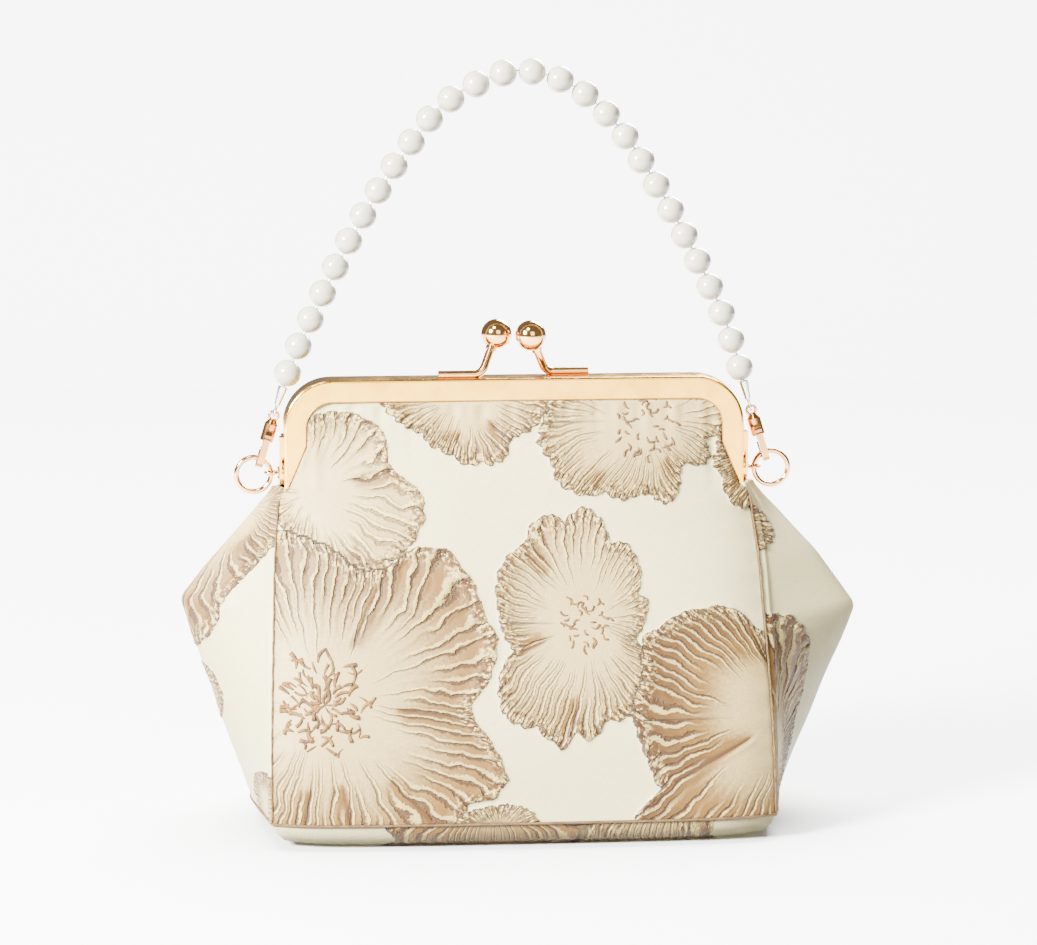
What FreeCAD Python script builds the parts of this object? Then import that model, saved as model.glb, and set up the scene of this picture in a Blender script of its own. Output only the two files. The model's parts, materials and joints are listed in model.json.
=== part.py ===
"""Evening bag: brocade purse on a kiss-lock frame, with a beaded carrying strand.

The bag stands on its base at Z = 0, centred on X = Y = 0, and its front faces -Y.
Two channel frame halves turn apart about one axis along X, through an eye pin at
each side. A ring hangs in each pin's eye, and a sprung hook at each end of the
beaded strand is clipped to that ring. All sizes are in millimetres and come from
the sheet "sizes"; angles are in degrees.
"""
import FreeCAD
import Part
import Sketcher
import math
import os

Vector = FreeCAD.Vector
Rotation = FreeCAD.Rotation
X_AXIS = Vector(1, 0, 0)
Y_AXIS = Vector(0, 1, 0)
Z_AXIS = Vector(0, 0, 1)
HANDS = (("left", -1), ("right", 1))

DRIVING_SIZES = (
    # the frame
    ("frame_top", 150.0),
    ("frame_half_width", 77.0),
    ("frame_half_depth", 6.0),
    ("frame_gap", 0.1),
    ("frame_corner", 16.0),
    ("frame_face", 7.3),
    ("frame_wall", 0.8),
    ("frame_rim", 0.9),
    ("leg_end", 113.6),
    ("leg_tip_width", 1.2),
    ("leg_taper_start", 128.0),
    ("hinge_height", 118.5),
    ("opening_angle", 50.0),
    ("ear_radius", 4.4),
    ("ear_thickness", 0.7),
    ("ear_play", 0.05),
    ("ear_arm_top", 131.0),
    ("paper_cord_radius", 1.15),
    # the eye pins and the rings
    ("pin_radius", 1.2),
    ("pin_play", 0.05),
    ("pin_head_radius", 2.1),
    ("eye_radius", 1.7),
    ("eye_wire", 0.6),
    ("ring_radius", 5.75),
    ("ring_wire", 0.85),
    # the kiss-lock
    ("lock_rod_radius", 1.35),
    ("lock_ball_radius", 5.1),
    ("lock_ball_height", 163.9),
    ("lock_ball_offset", 5.5),
    ("lock_ball_lean", 2.6),
    ("lock_bend", 11.0),
    ("lock_foot_end", 25.4),
    ("lock_foot_depth", 3.1),
    ("lock_bend_radius", 4.0),
    # the fabric
    ("cloth", 1.2),
    ("base_height", 8.5),
    ("lining_gap", 0.6),
    ("lining_cloth", 0.6),
    ("board_thickness", 1.2),
    ("board_length", 138.0),
    ("board_width", 68.0),
    ("board_corner", 12.0),
    ("pocket_width", 88.0),
    ("pocket_length", 50.0),
    ("pocket_cloth", 0.6),
    # the strand and its hooks
    ("hook_angle", 25.0),
    ("hook_lean", 17.0),
    ("hook_inner", 2.7),
    ("hook_outer", 3.9),
    ("hook_thickness", 2.2),
    ("hook_body_radius", 2.2),
    ("lever_thickness", 1.3),
    ("lever_play", 0.1),
    ("lever_pin_radius", 0.5),
    ("lever_spring", 0.3),
    ("strand_wire", 0.5),
    ("bead_radius", 4.5),
    ("bead_bore", 1.0),
    ("bead_count", 28.0),
    ("crimp_radius", 1.6),
    ("crimp_bore", 0.6),
    ("crimp_tip_radius", 0.95),
    ("crimp_length", 6.2),
)

# The outer face of the bag at each height: half width at the side seams, depth of
# the seams, depth of the middle of the front, and half width at the gusset's fold.
BASE_LEVELS = (
    (0.0, 71.0, 37.0, 38.5, 74.0),
    (2.4, 80.0, 43.8, 46.0, 84.5),
)
BODY_LEVELS = (
    (8.5, 84.0, 47.5, 49.7, 88.5),
    (30.0, 83.8, 43.5, 46.5, 96.0),
    (60.0, 82.8, 33.5, 37.5, 106.5),
    (74.0, 82.2, 27.5, 32.6, 112.5),
    (90.0, 81.5, 20.5, 27.5, 101.0),
    (104.0, 80.2, 12.5, 22.0, 87.5),
    (110.0, 79.5, 9.0, 19.8, 81.5),
)
PANEL_TOP_LEVEL = (118.3, 60.0, 11.0, 17.3, 0.0)

# The strand's route from the left hook's loop over the top to the right one (X, Z).
STRAND_ROUTE = (
    (-74.2, 155.6),
    (-64.2, 177.4),
    (-52.2, 201.2),
    (-38.0, 223.4),
    (-22.5, 243.0),
    (0.5, 253.2),
    (19.5, 248.2),
    (35.0, 233.8),
    (47.5, 214.4),
    (59.5, 192.8),
    (70.5, 169.8),
    (75.6, 154.0),
)


class Size:
    """A number together with the sheet expression that gives it."""

    def __init__(self, value, text):
        self.value = float(value)
        self.text = text

    def joined(self, other, sign, value):
        return Size(value, "(%s %s %s)" % (self.text, sign, other.text))

    def __add__(self, other):
        other = as_size(other)
        return self.joined(other, "+", self.value + other.value)

    def __radd__(self, other):
        return as_size(other) + self

    def __sub__(self, other):
        other = as_size(other)
        return self.joined(other, "-", self.value - other.value)

    def __rsub__(self, other):
        return as_size(other) - self

    def __mul__(self, other):
        other = as_size(other)
        return self.joined(other, "*", self.value * other.value)

    def __rmul__(self, other):
        return as_size(other) * self

    def __truediv__(self, other):
        other = as_size(other)
        return self.joined(other, "/", self.value / other.value)

    def __neg__(self):
        return as_size(-1) * self


def as_size(number):
    """Return a Size for a Size or a plain number."""
    if isinstance(number, Size):
        return number
    return Size(number, "(%r)" % float(number))


def make_sizes(doc):
    """Write the driving sizes into the sheet and return them by name."""
    sheet = doc.addObject("Spreadsheet::Sheet", "sizes")
    found = {}
    for row, (alias, number) in enumerate(DRIVING_SIZES, start=1):
        sheet.set("A%d" % row, alias)
        sheet.set("B%d" % row, "%g" % number)
        sheet.setAlias("B%d" % row, alias)
        found[alias] = Size(number, "sizes." + alias)
    doc.recompute()
    return found


def bind(thing, prop, size):
    """Bind one property to a size."""
    thing.setExpression(prop, as_size(size).text)


def move_to(thing, place, rotation=None):
    """Bind a placement's base to three sizes, after an optional fixed rotation."""
    place = [as_size(size) for size in place]
    base = Vector(*[size.value for size in place])
    thing.Placement = FreeCAD.Placement(base, rotation or Rotation())
    for letter, size in zip("xyz", place):
        bind(thing, ".Placement.Base." + letter, size)


class Shop:
    """Makes the document's objects, with their sizes bound to the sheet."""

    def __init__(self, doc):
        self.doc = doc

    def primitive(self, kind, name, place, rotation=None, **sizes):
        thing = self.doc.addObject("Part::" + kind, name)
        for prop, size in sizes.items():
            bind(thing, prop, size)
        move_to(thing, place, rotation)
        return thing

    def box(self, name, low, high):
        low = [as_size(size) for size in low]
        high = [as_size(size) for size in high]
        sides = [b - a for a, b in zip(low, high)]
        return self.primitive("Box", name, low, Length=sides[0], Width=sides[1], Height=sides[2])

    def rod_x(self, name, radius, low_x, high_x, y, z):
        """Make a cylinder along X from low_x to high_x."""
        turn = Rotation(Y_AXIS, 90)
        length = as_size(high_x) - low_x
        return self.primitive("Cylinder", name, (low_x, y, z), turn, Radius=radius, Height=length)

    def rod_z(self, name, radius, x, y, low_z, high_z):
        length = as_size(high_z) - low_z
        return self.primitive("Cylinder", name, (x, y, low_z), None, Radius=radius, Height=length)

    def cut(self, name, base, tool):
        thing = self.doc.addObject("Part::Cut", name)
        thing.Base = base
        thing.Tool = tool
        return thing

    def fuse(self, name, shapes):
        thing = self.doc.addObject("Part::MultiFuse", name)
        thing.Shapes = shapes
        thing.Refine = True
        return thing

    def mirrored(self, name, source, normal):
        thing = self.doc.addObject("Part::Mirroring", name)
        thing.Source = source
        thing.Normal = normal
        return thing

    def solid(self, name, shape, place=None):
        """Make a feature from a shape that this file works out from the sheet."""
        thing = self.doc.addObject("Part::Feature", name)
        thing.Shape = shape
        if place is not None:
            thing.Placement = place
        return thing


def origin_plane(body, role):
    """Return the body's own origin plane with this role."""
    return [plane for plane in body.Origin.OriginFeatures if plane.Role == role][0]


def polygon_sketch(body, name, role, points, offset=None):
    """Draw a closed polygon whose corners are bound to pairs of sizes."""
    sketch = body.newObject("Sketcher::SketchObject", name)
    sketch.AttachmentSupport = [(origin_plane(body, role), "")]
    sketch.MapMode = "FlatFace"
    if offset is not None:
        sketch.AttachmentOffset = FreeCAD.Placement(Vector(0, 0, offset.value), Rotation())
        bind(sketch, ".AttachmentOffset.Base.z", offset)
    corners = [(as_size(a), as_size(b)) for a, b in points]
    spots = [Vector(a.value, b.value, 0) for a, b in corners]
    count = len(spots)
    for index in range(count):
        line = Part.LineSegment(spots[index], spots[(index + 1) % count])
        sketch.addGeometry(line, False)
    for index in range(count):
        following = (index + 1) % count
        sketch.addConstraint(Sketcher.Constraint("Coincident", index, 2, following, 1))
    for index, (across, up) in enumerate(corners):
        for kind, size in (("DistanceX", across), ("DistanceY", up)):
            number = sketch.addConstraint(Sketcher.Constraint(kind, -1, 1, index, 1, size.value))
            bind(sketch, "Constraints[%d]" % number, size)
    return sketch


def edges_along_y(shape, spots):
    """Name the straight edges along Y that pass through the given (X, Z) spots."""
    names = []
    for number, edge in enumerate(shape.Edges, start=1):
        first = edge.Vertexes[0].Point
        last = edge.Vertexes[-1].Point
        if abs(first.x - last.x) > 1e-6 or abs(first.z - last.z) > 1e-6:
            continue
        for x, z in spots:
            if abs(first.x - x) < 1e-4 and abs(first.z - z) < 1e-4:
                names.append("Edge%d" % number)
    return names


def edges_in_plane_y(shape, y, at_least):
    """Name the edges that lie in the plane at Y, further out than a half width or top."""
    half_width, top, foot = at_least
    names = []
    for number, edge in enumerate(shape.Edges, start=1):
        box = edge.BoundBox
        if abs(box.YMin - y) > 1e-6 or abs(box.YMax - y) > 1e-6:
            continue
        middle = edge.valueAt((edge.FirstParameter + edge.LastParameter) / 2)
        outer = abs(middle.x) > half_width or middle.z > top
        if outer and middle.z > foot:
            names.append("Edge%d" % number)
    return names


def frame_band(shop, sizes, name, side):
    """Make one frame half's solid band: an arch of flat face, its corners rounded."""
    doc = shop.doc
    half = sizes["frame_half_width"]
    top = sizes["frame_top"]
    face = sizes["frame_face"]
    end = sizes["leg_end"]
    depth = sizes["frame_half_depth"] - sizes["frame_gap"]
    body = doc.addObject("PartDesign::Body", name)
    outline = ((-half, end), (half, end), (half, top), (-half, top))
    sketch = polygon_sketch(body, name + "_outline", "XZ_Plane", outline, sizes["frame_gap"] * (-side))
    pad = body.newObject("PartDesign::Pad", name + "_plate")
    pad.Profile = sketch
    bind(pad, "Length", depth)
    pad.Reversed = side > 0
    doc.recompute()
    corners = [(half.value * hand, top.value) for _, hand in HANDS]
    rounding = body.newObject("PartDesign::Fillet", name + "_corners")
    rounding.Base = (pad, edges_along_y(pad.Shape, corners))
    bind(rounding, "Radius", sizes["frame_corner"])
    doc.recompute()
    inner = half - face
    tip = half - sizes["leg_tip_width"]
    taper = sizes["leg_taper_start"]
    below = end - 1
    window = ((-tip, below), (tip, below), (tip, end), (inner, taper),
              (inner, top - face), (-inner, top - face), (-inner, taper), (-tip, end))
    opening = polygon_sketch(body, name + "_window", "XZ_Plane", window)
    pocket = body.newObject("PartDesign::Pocket", name + "_opening")
    pocket.Profile = opening
    pocket.Type = "ThroughAll"
    pocket.Midplane = True
    doc.recompute()
    if pocket.Shape.Volume > 0.5 * rounding.Shape.Volume:
        raise ValueError(name + ": the window was not cut")
    spots = [(inner.value * hand, (top - face).value) for _, hand in HANDS]
    inside = body.newObject("PartDesign::Fillet", name + "_inner_corners")
    inside.Base = (pocket, edges_along_y(pocket.Shape, spots))
    bind(inside, "Radius", sizes["frame_corner"] - face)
    doc.recompute()
    rim = body.newObject("PartDesign::Fillet", name + "_rim")
    limits = (half.value - 0.1, top.value - 6.0, end.value + 0.1)
    outer = edges_in_plane_y(inside.Shape, side * sizes["frame_half_depth"].value, limits)
    rim.Base = (inside, outer)
    bind(rim, "Radius", sizes["frame_rim"])
    doc.recompute()
    return body


def channel_core(shop, sizes, name, side):
    """Make the plate that hollows a frame half into a channel open towards its inside."""
    doc = shop.doc
    wall = sizes["frame_wall"]
    half = sizes["frame_half_width"] - wall
    top = sizes["frame_top"] - wall
    below = sizes["leg_end"] - 1
    near = sizes["frame_gap"] + wall
    body = doc.addObject("PartDesign::Body", name)
    outline = ((-half, below), (half, below), (half, top), (-half, top))
    sketch = polygon_sketch(body, name + "_outline", "XZ_Plane", outline, near * (-side))
    pad = body.newObject("PartDesign::Pad", name + "_plate")
    pad.Profile = sketch
    bind(pad, "Length", sizes["frame_half_depth"] - wall - near)
    pad.Reversed = side > 0
    doc.recompute()
    corners = [(half.value * hand, top.value) for _, hand in HANDS]
    rounding = body.newObject("PartDesign::Fillet", name + "_corners")
    rounding.Base = (pad, edges_along_y(pad.Shape, corners))
    bind(rounding, "Radius", sizes["frame_corner"] - wall)
    doc.recompute()
    return body


def opening_wedge(shop, sizes, name, side):
    """Make the box that bevels the leg ends, so that the halves clear as they open."""
    bevel_play = 1.5
    reach = 14
    half = sizes["frame_half_width"] + 0.02
    angle = 180 - sizes["opening_angle"].value - bevel_play
    turn = Rotation(X_AXIS, angle + 90)
    if side > 0:
        turn = Rotation(X_AXIS, 360 - angle)
    place = (-half, 0, sizes["hinge_height"])
    return shop.primitive("Box", name, place, turn, Length=half * 2, Width=reach, Height=reach)


def frame_half(shop, sizes, name, side, ear_start):
    """Make one frame half: the channel, and an ear on each leg that takes the pin."""
    half = sizes["frame_half_width"]
    hinge = sizes["hinge_height"]
    band = frame_band(shop, sizes, name + "_band", side)
    core = channel_core(shop, sizes, name + "_core", side)
    shape = shop.cut(name + "_channel", band, core)
    wedge = opening_wedge(shop, sizes, name + "_wedge", side)
    shape = shop.cut(name + "_bevelled", shape, wedge)
    arm_low = sizes["frame_gap"] * 4
    arm_high = sizes["frame_half_depth"] - sizes["frame_wall"]
    near_y = arm_low if side > 0 else -arm_high
    far_y = arm_high if side > 0 else -arm_low
    bite = 0.1
    head_room = 0.4
    ears = []
    for label, hand in HANDS:
        part = "%s_%s_" % (name, label)
        notch_low = half - 1.4 if hand > 0 else -half - 0.02
        notch_high = half + 0.02 if hand > 0 else -half + 1.4
        notch = shop.rod_x(part + "notch", sizes["pin_head_radius"] + head_room,
                           notch_low, notch_high, 0, hinge)
        shape = shop.cut(part + "notched", shape, notch)
        start = ear_start if hand > 0 else -ear_start - sizes["ear_thickness"]
        stop = start + sizes["ear_thickness"]
        disc = shop.rod_x(part + "disc", sizes["ear_radius"], start, stop, 0, hinge)
        arm = shop.box(part + "arm", (start, near_y, hinge), (stop, far_y, sizes["ear_arm_top"]))
        low_x = half - bite if hand > 0 else -ear_start - bite
        high_x = ear_start + bite if hand > 0 else -half + bite
        spacer_low = hinge + sizes["ear_radius"] + 1.6
        spacer = shop.box(part + "spacer", (low_x, near_y, spacer_low),
                          (high_x, far_y, sizes["ear_arm_top"]))
        ears += [disc, arm, spacer]
    shape = shop.fuse(name + "_with_ears", [shape] + ears)
    reach = ear_start + 2
    bore = shop.rod_x(name + "_bore", sizes["pin_radius"] + sizes["pin_play"], -reach, reach, 0, hinge)
    return shop.cut(name, shape, bore)


def arched_tube(radius, half_width, top, corner, foot, y):
    """Return a tube along an arch in a plane of constant Y: leg, corner, top, corner, leg."""
    side = half_width - corner
    high = top - corner
    slope = corner * math.sqrt(0.5)
    left_mid = Vector(-side - slope, y, high + slope)
    right_mid = Vector(side + slope, y, high + slope)
    edges = [
        Part.LineSegment(Vector(-half_width, y, foot), Vector(-half_width, y, high)),
        Part.Arc(Vector(-half_width, y, high), left_mid, Vector(-side, y, top)),
        Part.LineSegment(Vector(-side, y, top), Vector(side, y, top)),
        Part.Arc(Vector(side, y, top), right_mid, Vector(half_width, y, high)),
        Part.LineSegment(Vector(half_width, y, high), Vector(half_width, y, foot)),
    ]
    path = Part.Wire([edge.toShape() for edge in edges])
    ring = Part.Wire([Part.makeCircle(radius, Vector(-half_width, y, foot), Z_AXIS)])
    return path.makePipeShell([ring], True, True)


def paper_cord(shop, sizes, name, side):
    """Make the stuffing cord that jams the fabric inside a frame half's channel."""
    radius = sizes["paper_cord_radius"].value
    inset = sizes["frame_wall"].value + radius + 0.1
    half = sizes["frame_half_width"].value - inset
    top = sizes["frame_top"].value - inset
    corner = sizes["frame_corner"].value - inset
    foot = sizes["hinge_height"].value + 3.5
    y = side * (sizes["frame_gap"].value + sizes["frame_wall"].value + radius + 0.1)
    return shop.solid(name, arched_tube(radius, half, top, corner, foot, y))


def lock_directions(sizes, side):
    """Return a kiss-lock rod's foot end, bend and ball centre, for one frame half."""
    foot_height = sizes["frame_top"].value + sizes["lock_rod_radius"].value - 0.25
    depth = side * sizes["lock_foot_depth"].value
    foot = Vector(side * sizes["lock_foot_end"].value, depth, foot_height)
    bend = Vector(side * sizes["lock_bend"].value, depth, foot_height)
    ball = Vector(side * sizes["lock_ball_offset"].value,
                  -side * sizes["lock_ball_lean"].value, sizes["lock_ball_height"].value)
    return foot, bend, ball


def rounded_path(points, radius_of):
    """Return a wire of straight runs joined by tangent arcs."""
    edges = []
    start = points[0]
    radii = []
    for index in range(1, len(points) - 1):
        before = points[index - 1] - points[index]
        after = points[index + 1] - points[index]
        inward = Vector(before).normalize()
        outward = Vector(after).normalize()
        turn = math.pi - inward.getAngle(outward)
        shorter = min(before.Length, after.Length)
        radius = radius_of(shorter, turn)
        reach = radius * math.tan(turn / 2)
        first = points[index] + inward * reach
        last = points[index] + outward * reach
        towards = (inward + outward).normalize()
        depth = radius / math.cos(turn / 2) - radius
        middle = points[index] + towards * depth
        edges.append(Part.LineSegment(start, first).toShape())
        edges.append(Part.Arc(first, middle, last).toShape())
        radii.append(radius)
        start = last
    edges.append(Part.LineSegment(start, points[-1]).toShape())
    return Part.Wire(edges), radii


def tube_along(path, radius):
    """Return a round tube along a wire, checked against its section times its length."""
    first = path.Edges[0]
    heading = first.tangentAt(first.FirstParameter)
    ring = Part.Wire([Part.makeCircle(radius, first.Vertexes[0].Point, heading)])
    tube = path.makePipeShell([ring], True, True)
    expected = math.pi * radius ** 2 * path.Length
    if abs(tube.Volume - expected) > 0.02 * expected:
        raise ValueError("a tube's volume is %.2f, not %.2f" % (tube.Volume, expected))
    return tube


def lock_rod(shop, sizes, name, side):
    """Make a kiss-lock rod: a foot brazed along the frame's top, bent up to its ball."""
    foot, bend, ball = lock_directions(sizes, side)
    radius = sizes["lock_rod_radius"].value
    rise = (ball - bend).normalize()
    socket_depth = 1.6
    stop = ball - rise * (sizes["lock_ball_radius"].value - socket_depth)
    bend_radius = sizes["lock_bend_radius"].value
    path, _ = rounded_path([foot, bend, stop], lambda shorter, turn: bend_radius)
    tube = tube_along(path, radius)
    block = Part.makeBox(60, 20, 10, Vector(-30, -10, sizes["frame_top"].value - 10))
    return shop.solid(name, tube.cut(block))


def lock_ball(shop, sizes, name, side):
    """Make a kiss-lock ball with a collar and the socket that takes the rod's end."""
    _, bend, ball = lock_directions(sizes, side)
    rise = (ball - bend).normalize()
    radius = sizes["lock_ball_radius"].value
    rod = sizes["lock_rod_radius"].value
    socket_depth = 1.6
    collar_drop = 1.0
    collar_wall = 0.5
    below = ball - rise * (radius + collar_drop)
    collar = Part.makeCylinder(rod + collar_wall, collar_drop + socket_depth, below, rise)
    shape = Part.makeSphere(radius, ball).fuse(collar)
    socket = Part.makeCylinder(rod, collar_drop + socket_depth, below, rise)
    return shop.solid(name, shape.cut(socket))


def eye_pin(shop, sizes, name, hand):
    """Make a hinge pin: a rivet head inside, the shank, and the ring's eye outside."""
    half = sizes["frame_half_width"]
    hinge = sizes["hinge_height"]
    ears_end = half + (sizes["ear_thickness"] + sizes["ear_play"]) * 2 + sizes["ear_play"]
    head = shop.rod_x(name + "_head", sizes["pin_head_radius"], half - 1, half, 0, hinge)
    shank = shop.rod_x(name + "_shank", sizes["pin_radius"], half - 0.5, ears_end + 0.4, 0, hinge)
    collar = shop.rod_x(name + "_collar", sizes["pin_head_radius"], ears_end, ears_end + 0.5, 0, hinge)
    place = (ears_end + 0.4 + sizes["eye_radius"] + sizes["eye_wire"], 0, hinge)
    eye = shop.primitive("Torus", name + "_eye", place, None,
                         Radius1=sizes["eye_radius"], Radius2=sizes["eye_wire"])
    whole = shop.fuse(name + "_whole", [head, shank, collar, eye])
    if hand > 0:
        return whole
    return shop.mirrored(name + "_mirrored", whole, X_AXIS)


def eye_centre(sizes):
    """Return how far from the middle each eye's centre lies."""
    ears = (sizes["ear_thickness"] + sizes["ear_play"]) * 2 + sizes["ear_play"]
    return sizes["frame_half_width"] + ears + 0.4 + sizes["eye_radius"] + sizes["eye_wire"]


def ring_centre(sizes):
    """Return a ring's centre (X, Z): it hangs a little below the eye that holds it."""
    drop = 0.5
    across = math.sqrt(sizes["ring_radius"].value ** 2 - drop ** 2)
    return eye_centre(sizes).value + across, sizes["hinge_height"].value - drop


def ring(shop, sizes, name, hand):
    """Make a ring in the plane of the frame, passing through its eye."""
    across, height = ring_centre(sizes)
    return shop.primitive("Torus", name, (hand * across, 0, height), Rotation(X_AXIS, 90),
                          Radius1=sizes["ring_radius"], Radius2=sizes["ring_wire"])


def spread(count):
    """Return count even steps from -1 to 1."""
    return [2 * index / (count - 1) - 1 for index in range(count)]


def front_line(level, inset, steps=9, side=-1):
    """Return one panel's line across at one height: seam, crowned middle, seam."""
    height, seam, seam_depth, middle_depth, _ = level
    crown = 2.4
    points = []
    for step in spread(steps):
        depth = seam_depth + (middle_depth - seam_depth) * (1 - abs(step) ** crown)
        x = step * (seam - 1.08 * inset)
        points.append(Vector(x, side * (depth - inset), height))
    return points


def gusset_line(level, inset, hand):
    """Return a gusset's line at one height: front seam, fold, back seam."""
    height, seam, seam_depth, _, fold = level
    x = hand * (seam - 1.08 * inset)
    y = seam_depth - inset
    tip = hand * (fold - 1.5 * inset)
    return [Vector(x, -y, height), Vector(tip, 0, height), Vector(x, y, height)]


def bag_ring(level, inset):
    """Return the whole outline at one height, as a closed ring of points."""
    front = front_line(level, inset, side=-1)
    right = gusset_line(level, inset, 1)[1:2]
    back = list(reversed(front_line(level, inset, side=1)))
    left = gusset_line(level, inset, -1)[1:2]
    return front + right + back + left


def ruled_solid(rings):
    """Return the closed solid with straight walls between rings of equal length."""
    wires = [Part.makePolygon(ring + ring[:1]) for ring in rings]
    return Part.makeLoft(wires, True, True)


def wall_panel(shop, sizes, name, levels, line):
    """Make a panel one cloth thick from its outer and inner line at each height."""
    cloth = sizes["cloth"].value
    rings = []
    for level in levels:
        outer = line(level, 0.0)
        inner = line(level, cloth)
        rings.append(outer + list(reversed(inner)))
    return shop.solid(name, ruled_solid(rings))


def face_panel(shop, sizes, name, side):
    """Make the front or back panel up to just under the frame."""
    levels = BODY_LEVELS + (PANEL_TOP_LEVEL,)
    return wall_panel(shop, sizes, name, levels, lambda level, inset: front_line(level, inset, side=side))


def gusset(shop, sizes, name, hand):
    """Make a side gusset, folded outwards along its middle."""
    return wall_panel(shop, sizes, name, BODY_LEVELS, lambda level, inset: gusset_line(level, inset, hand))


def raised(level, height):
    """Return a level with another height."""
    return (height,) + tuple(level[1:])


def bottom_panel(shop, sizes, name):
    """Make the bottom: a shallow tray, flat where the bag stands."""
    cloth = sizes["cloth"].value
    levels = BASE_LEVELS + BODY_LEVELS[:1]
    outer = ruled_solid([bag_ring(level, 0.0) for level in levels])
    floor = raised(BASE_LEVELS[0], cloth)
    knee = raised(BASE_LEVELS[1], BASE_LEVELS[1][0] + cloth * 0.7)
    mouth = raised(BODY_LEVELS[0], BODY_LEVELS[0][0] + 0.01)
    inner = ruled_solid([bag_ring(level, cloth) for level in (floor, knee, mouth)])
    return shop.solid(name, outer.cut(inner))


def lining(shop, sizes, name):
    """Make the lining: one sewn inner bag, open at the top."""
    gap = sizes["cloth"].value + sizes["lining_gap"].value
    cloth = sizes["lining_cloth"].value
    board_top = sizes["cloth"].value + sizes["board_thickness"].value + 0.3
    low = [raised(BASE_LEVELS[0], board_top), raised(BASE_LEVELS[1], board_top + 2.2)]
    levels = low + list(BODY_LEVELS)
    outer = ruled_solid([bag_ring(level, gap) for level in levels])
    floor = [raised(low[0], board_top + cloth), raised(low[1], board_top + 2.2 + cloth * 0.6)]
    mouth = raised(BODY_LEVELS[-1], BODY_LEVELS[-1][0] + 0.01)
    inside = floor + list(BODY_LEVELS[:-1]) + [mouth]
    inner = ruled_solid([bag_ring(level, gap + cloth) for level in inside])
    return shop.solid(name, outer.cut(inner))


def base_board(shop, sizes, name):
    """Make the stiff board that lies between the bottom and the lining."""
    body = shop.doc.addObject("PartDesign::Body", name)
    half_x = sizes["board_length"] / 2
    half_y = sizes["board_width"] / 2
    outline = ((-half_x, -half_y), (half_x, -half_y), (half_x, half_y), (-half_x, half_y))
    sketch = polygon_sketch(body, name + "_outline", "XY_Plane", outline, sizes["cloth"] + 0.1)
    pad = body.newObject("PartDesign::Pad", name + "_plate")
    pad.Profile = sketch
    bind(pad, "Length", sizes["board_thickness"])
    shop.doc.recompute()
    upright = []
    for number, edge in enumerate(pad.Shape.Edges, start=1):
        if abs(edge.tangentAt(edge.FirstParameter).z) > 0.9:
            upright.append("Edge%d" % number)
    rounding = body.newObject("PartDesign::Fillet", name + "_corners")
    rounding.Base = (pad, upright)
    bind(rounding, "Radius", sizes["board_corner"])
    return body


def slip_pocket(shop, sizes, name):
    """Make the flat slip pocket that leans with the back of the lining."""
    low_height = 33.0
    low_depth = 40.6
    lean = 17.6
    half = sizes["pocket_width"] / 2
    place = (-half, low_depth, low_height)
    turn = Rotation(X_AXIS, lean)
    return shop.primitive("Box", name, place, turn, Length=half * 2,
                          Width=sizes["pocket_cloth"], Height=sizes["pocket_length"])


def frame_cloth(shop, sizes, name, side):
    """Make the fabric's edge that is held in a frame half and swells out below it."""
    cloth = sizes["cloth"].value
    wall = sizes["frame_wall"].value
    face_y = sizes["frame_half_depth"].value - wall - 0.1
    corner_x = sizes["frame_half_width"].value - sizes["frame_corner"].value
    corner_z = sizes["frame_top"].value - sizes["frame_corner"].value
    arc = sizes["frame_corner"].value - wall - 0.5
    edge_arc = sizes["frame_corner"].value - sizes["frame_face"].value
    hinge = sizes["hinge_height"].value
    clearance = 0.6
    fold_slope = 1.2
    fold_share = 0.63
    crown = [(point.x, abs(point.y) - clearance) for point in front_line(PANEL_TOP_LEVEL, 0.0)]
    flat = [(x, face_y) for x in (69.6, 73.5, 75.4)]
    stations = [(-x, y) for x, y in reversed(flat)] + crown + flat
    rings = []
    for x, depth in stations:
        beyond = max(abs(x) - corner_x, 0)
        top = corner_z + math.sqrt(arc ** 2 - beyond ** 2)
        exit_height = corner_z + math.sqrt(max(edge_arc ** 2 - beyond ** 2, 0)) - 0.5
        foot_y = max(depth - cloth, face_y)
        fold_y = max(fold_share * foot_y, face_y)
        fold = (fold_y, hinge + fold_slope * fold_y)
        line = [(face_y, top), (face_y, exit_height), fold, (foot_y, hinge + 0.2)]
        outer = [Vector(x, side * y, z) for y, z in line]
        inner = [Vector(x, side * (y - cloth), z) for y, z in reversed(line)]
        rings.append(outer + inner)
    return shop.solid(name, ruled_solid(rings))


def hook_point(sizes, hand):
    """Return the point on the ring's wire where a hook hangs: the strand turns about it."""
    across, height = ring_centre(sizes)
    angle = math.radians(sizes["hook_angle"].value)
    radius = sizes["ring_radius"].value
    x = across - radius * math.sin(angle)
    return Vector(hand * x, 0, height + radius * math.cos(angle))


def hook_place(sizes, hand):
    """Return the placement of a hook's own frame: Z up its length, leaning inwards."""
    lean = Rotation(Y_AXIS, -hand * sizes["hook_lean"].value)
    return FreeCAD.Placement(hook_point(sizes, hand), lean)


HOOK_CENTRE = 0.9
GATE_LOW = 1.5
GATE_RADIUS = 7.65
HOOK_BODY_LOW = 6.4
HOOK_BODY_HIGH = 12.2
HOOK_NECK_HIGH = 13.9
HOOK_EYE = 15.1
HOOK_EYE_RADIUS = 1.5
HOOK_EYE_WIRE = 0.5
LEVER_PIVOT = (0.6, 10.2)


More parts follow.
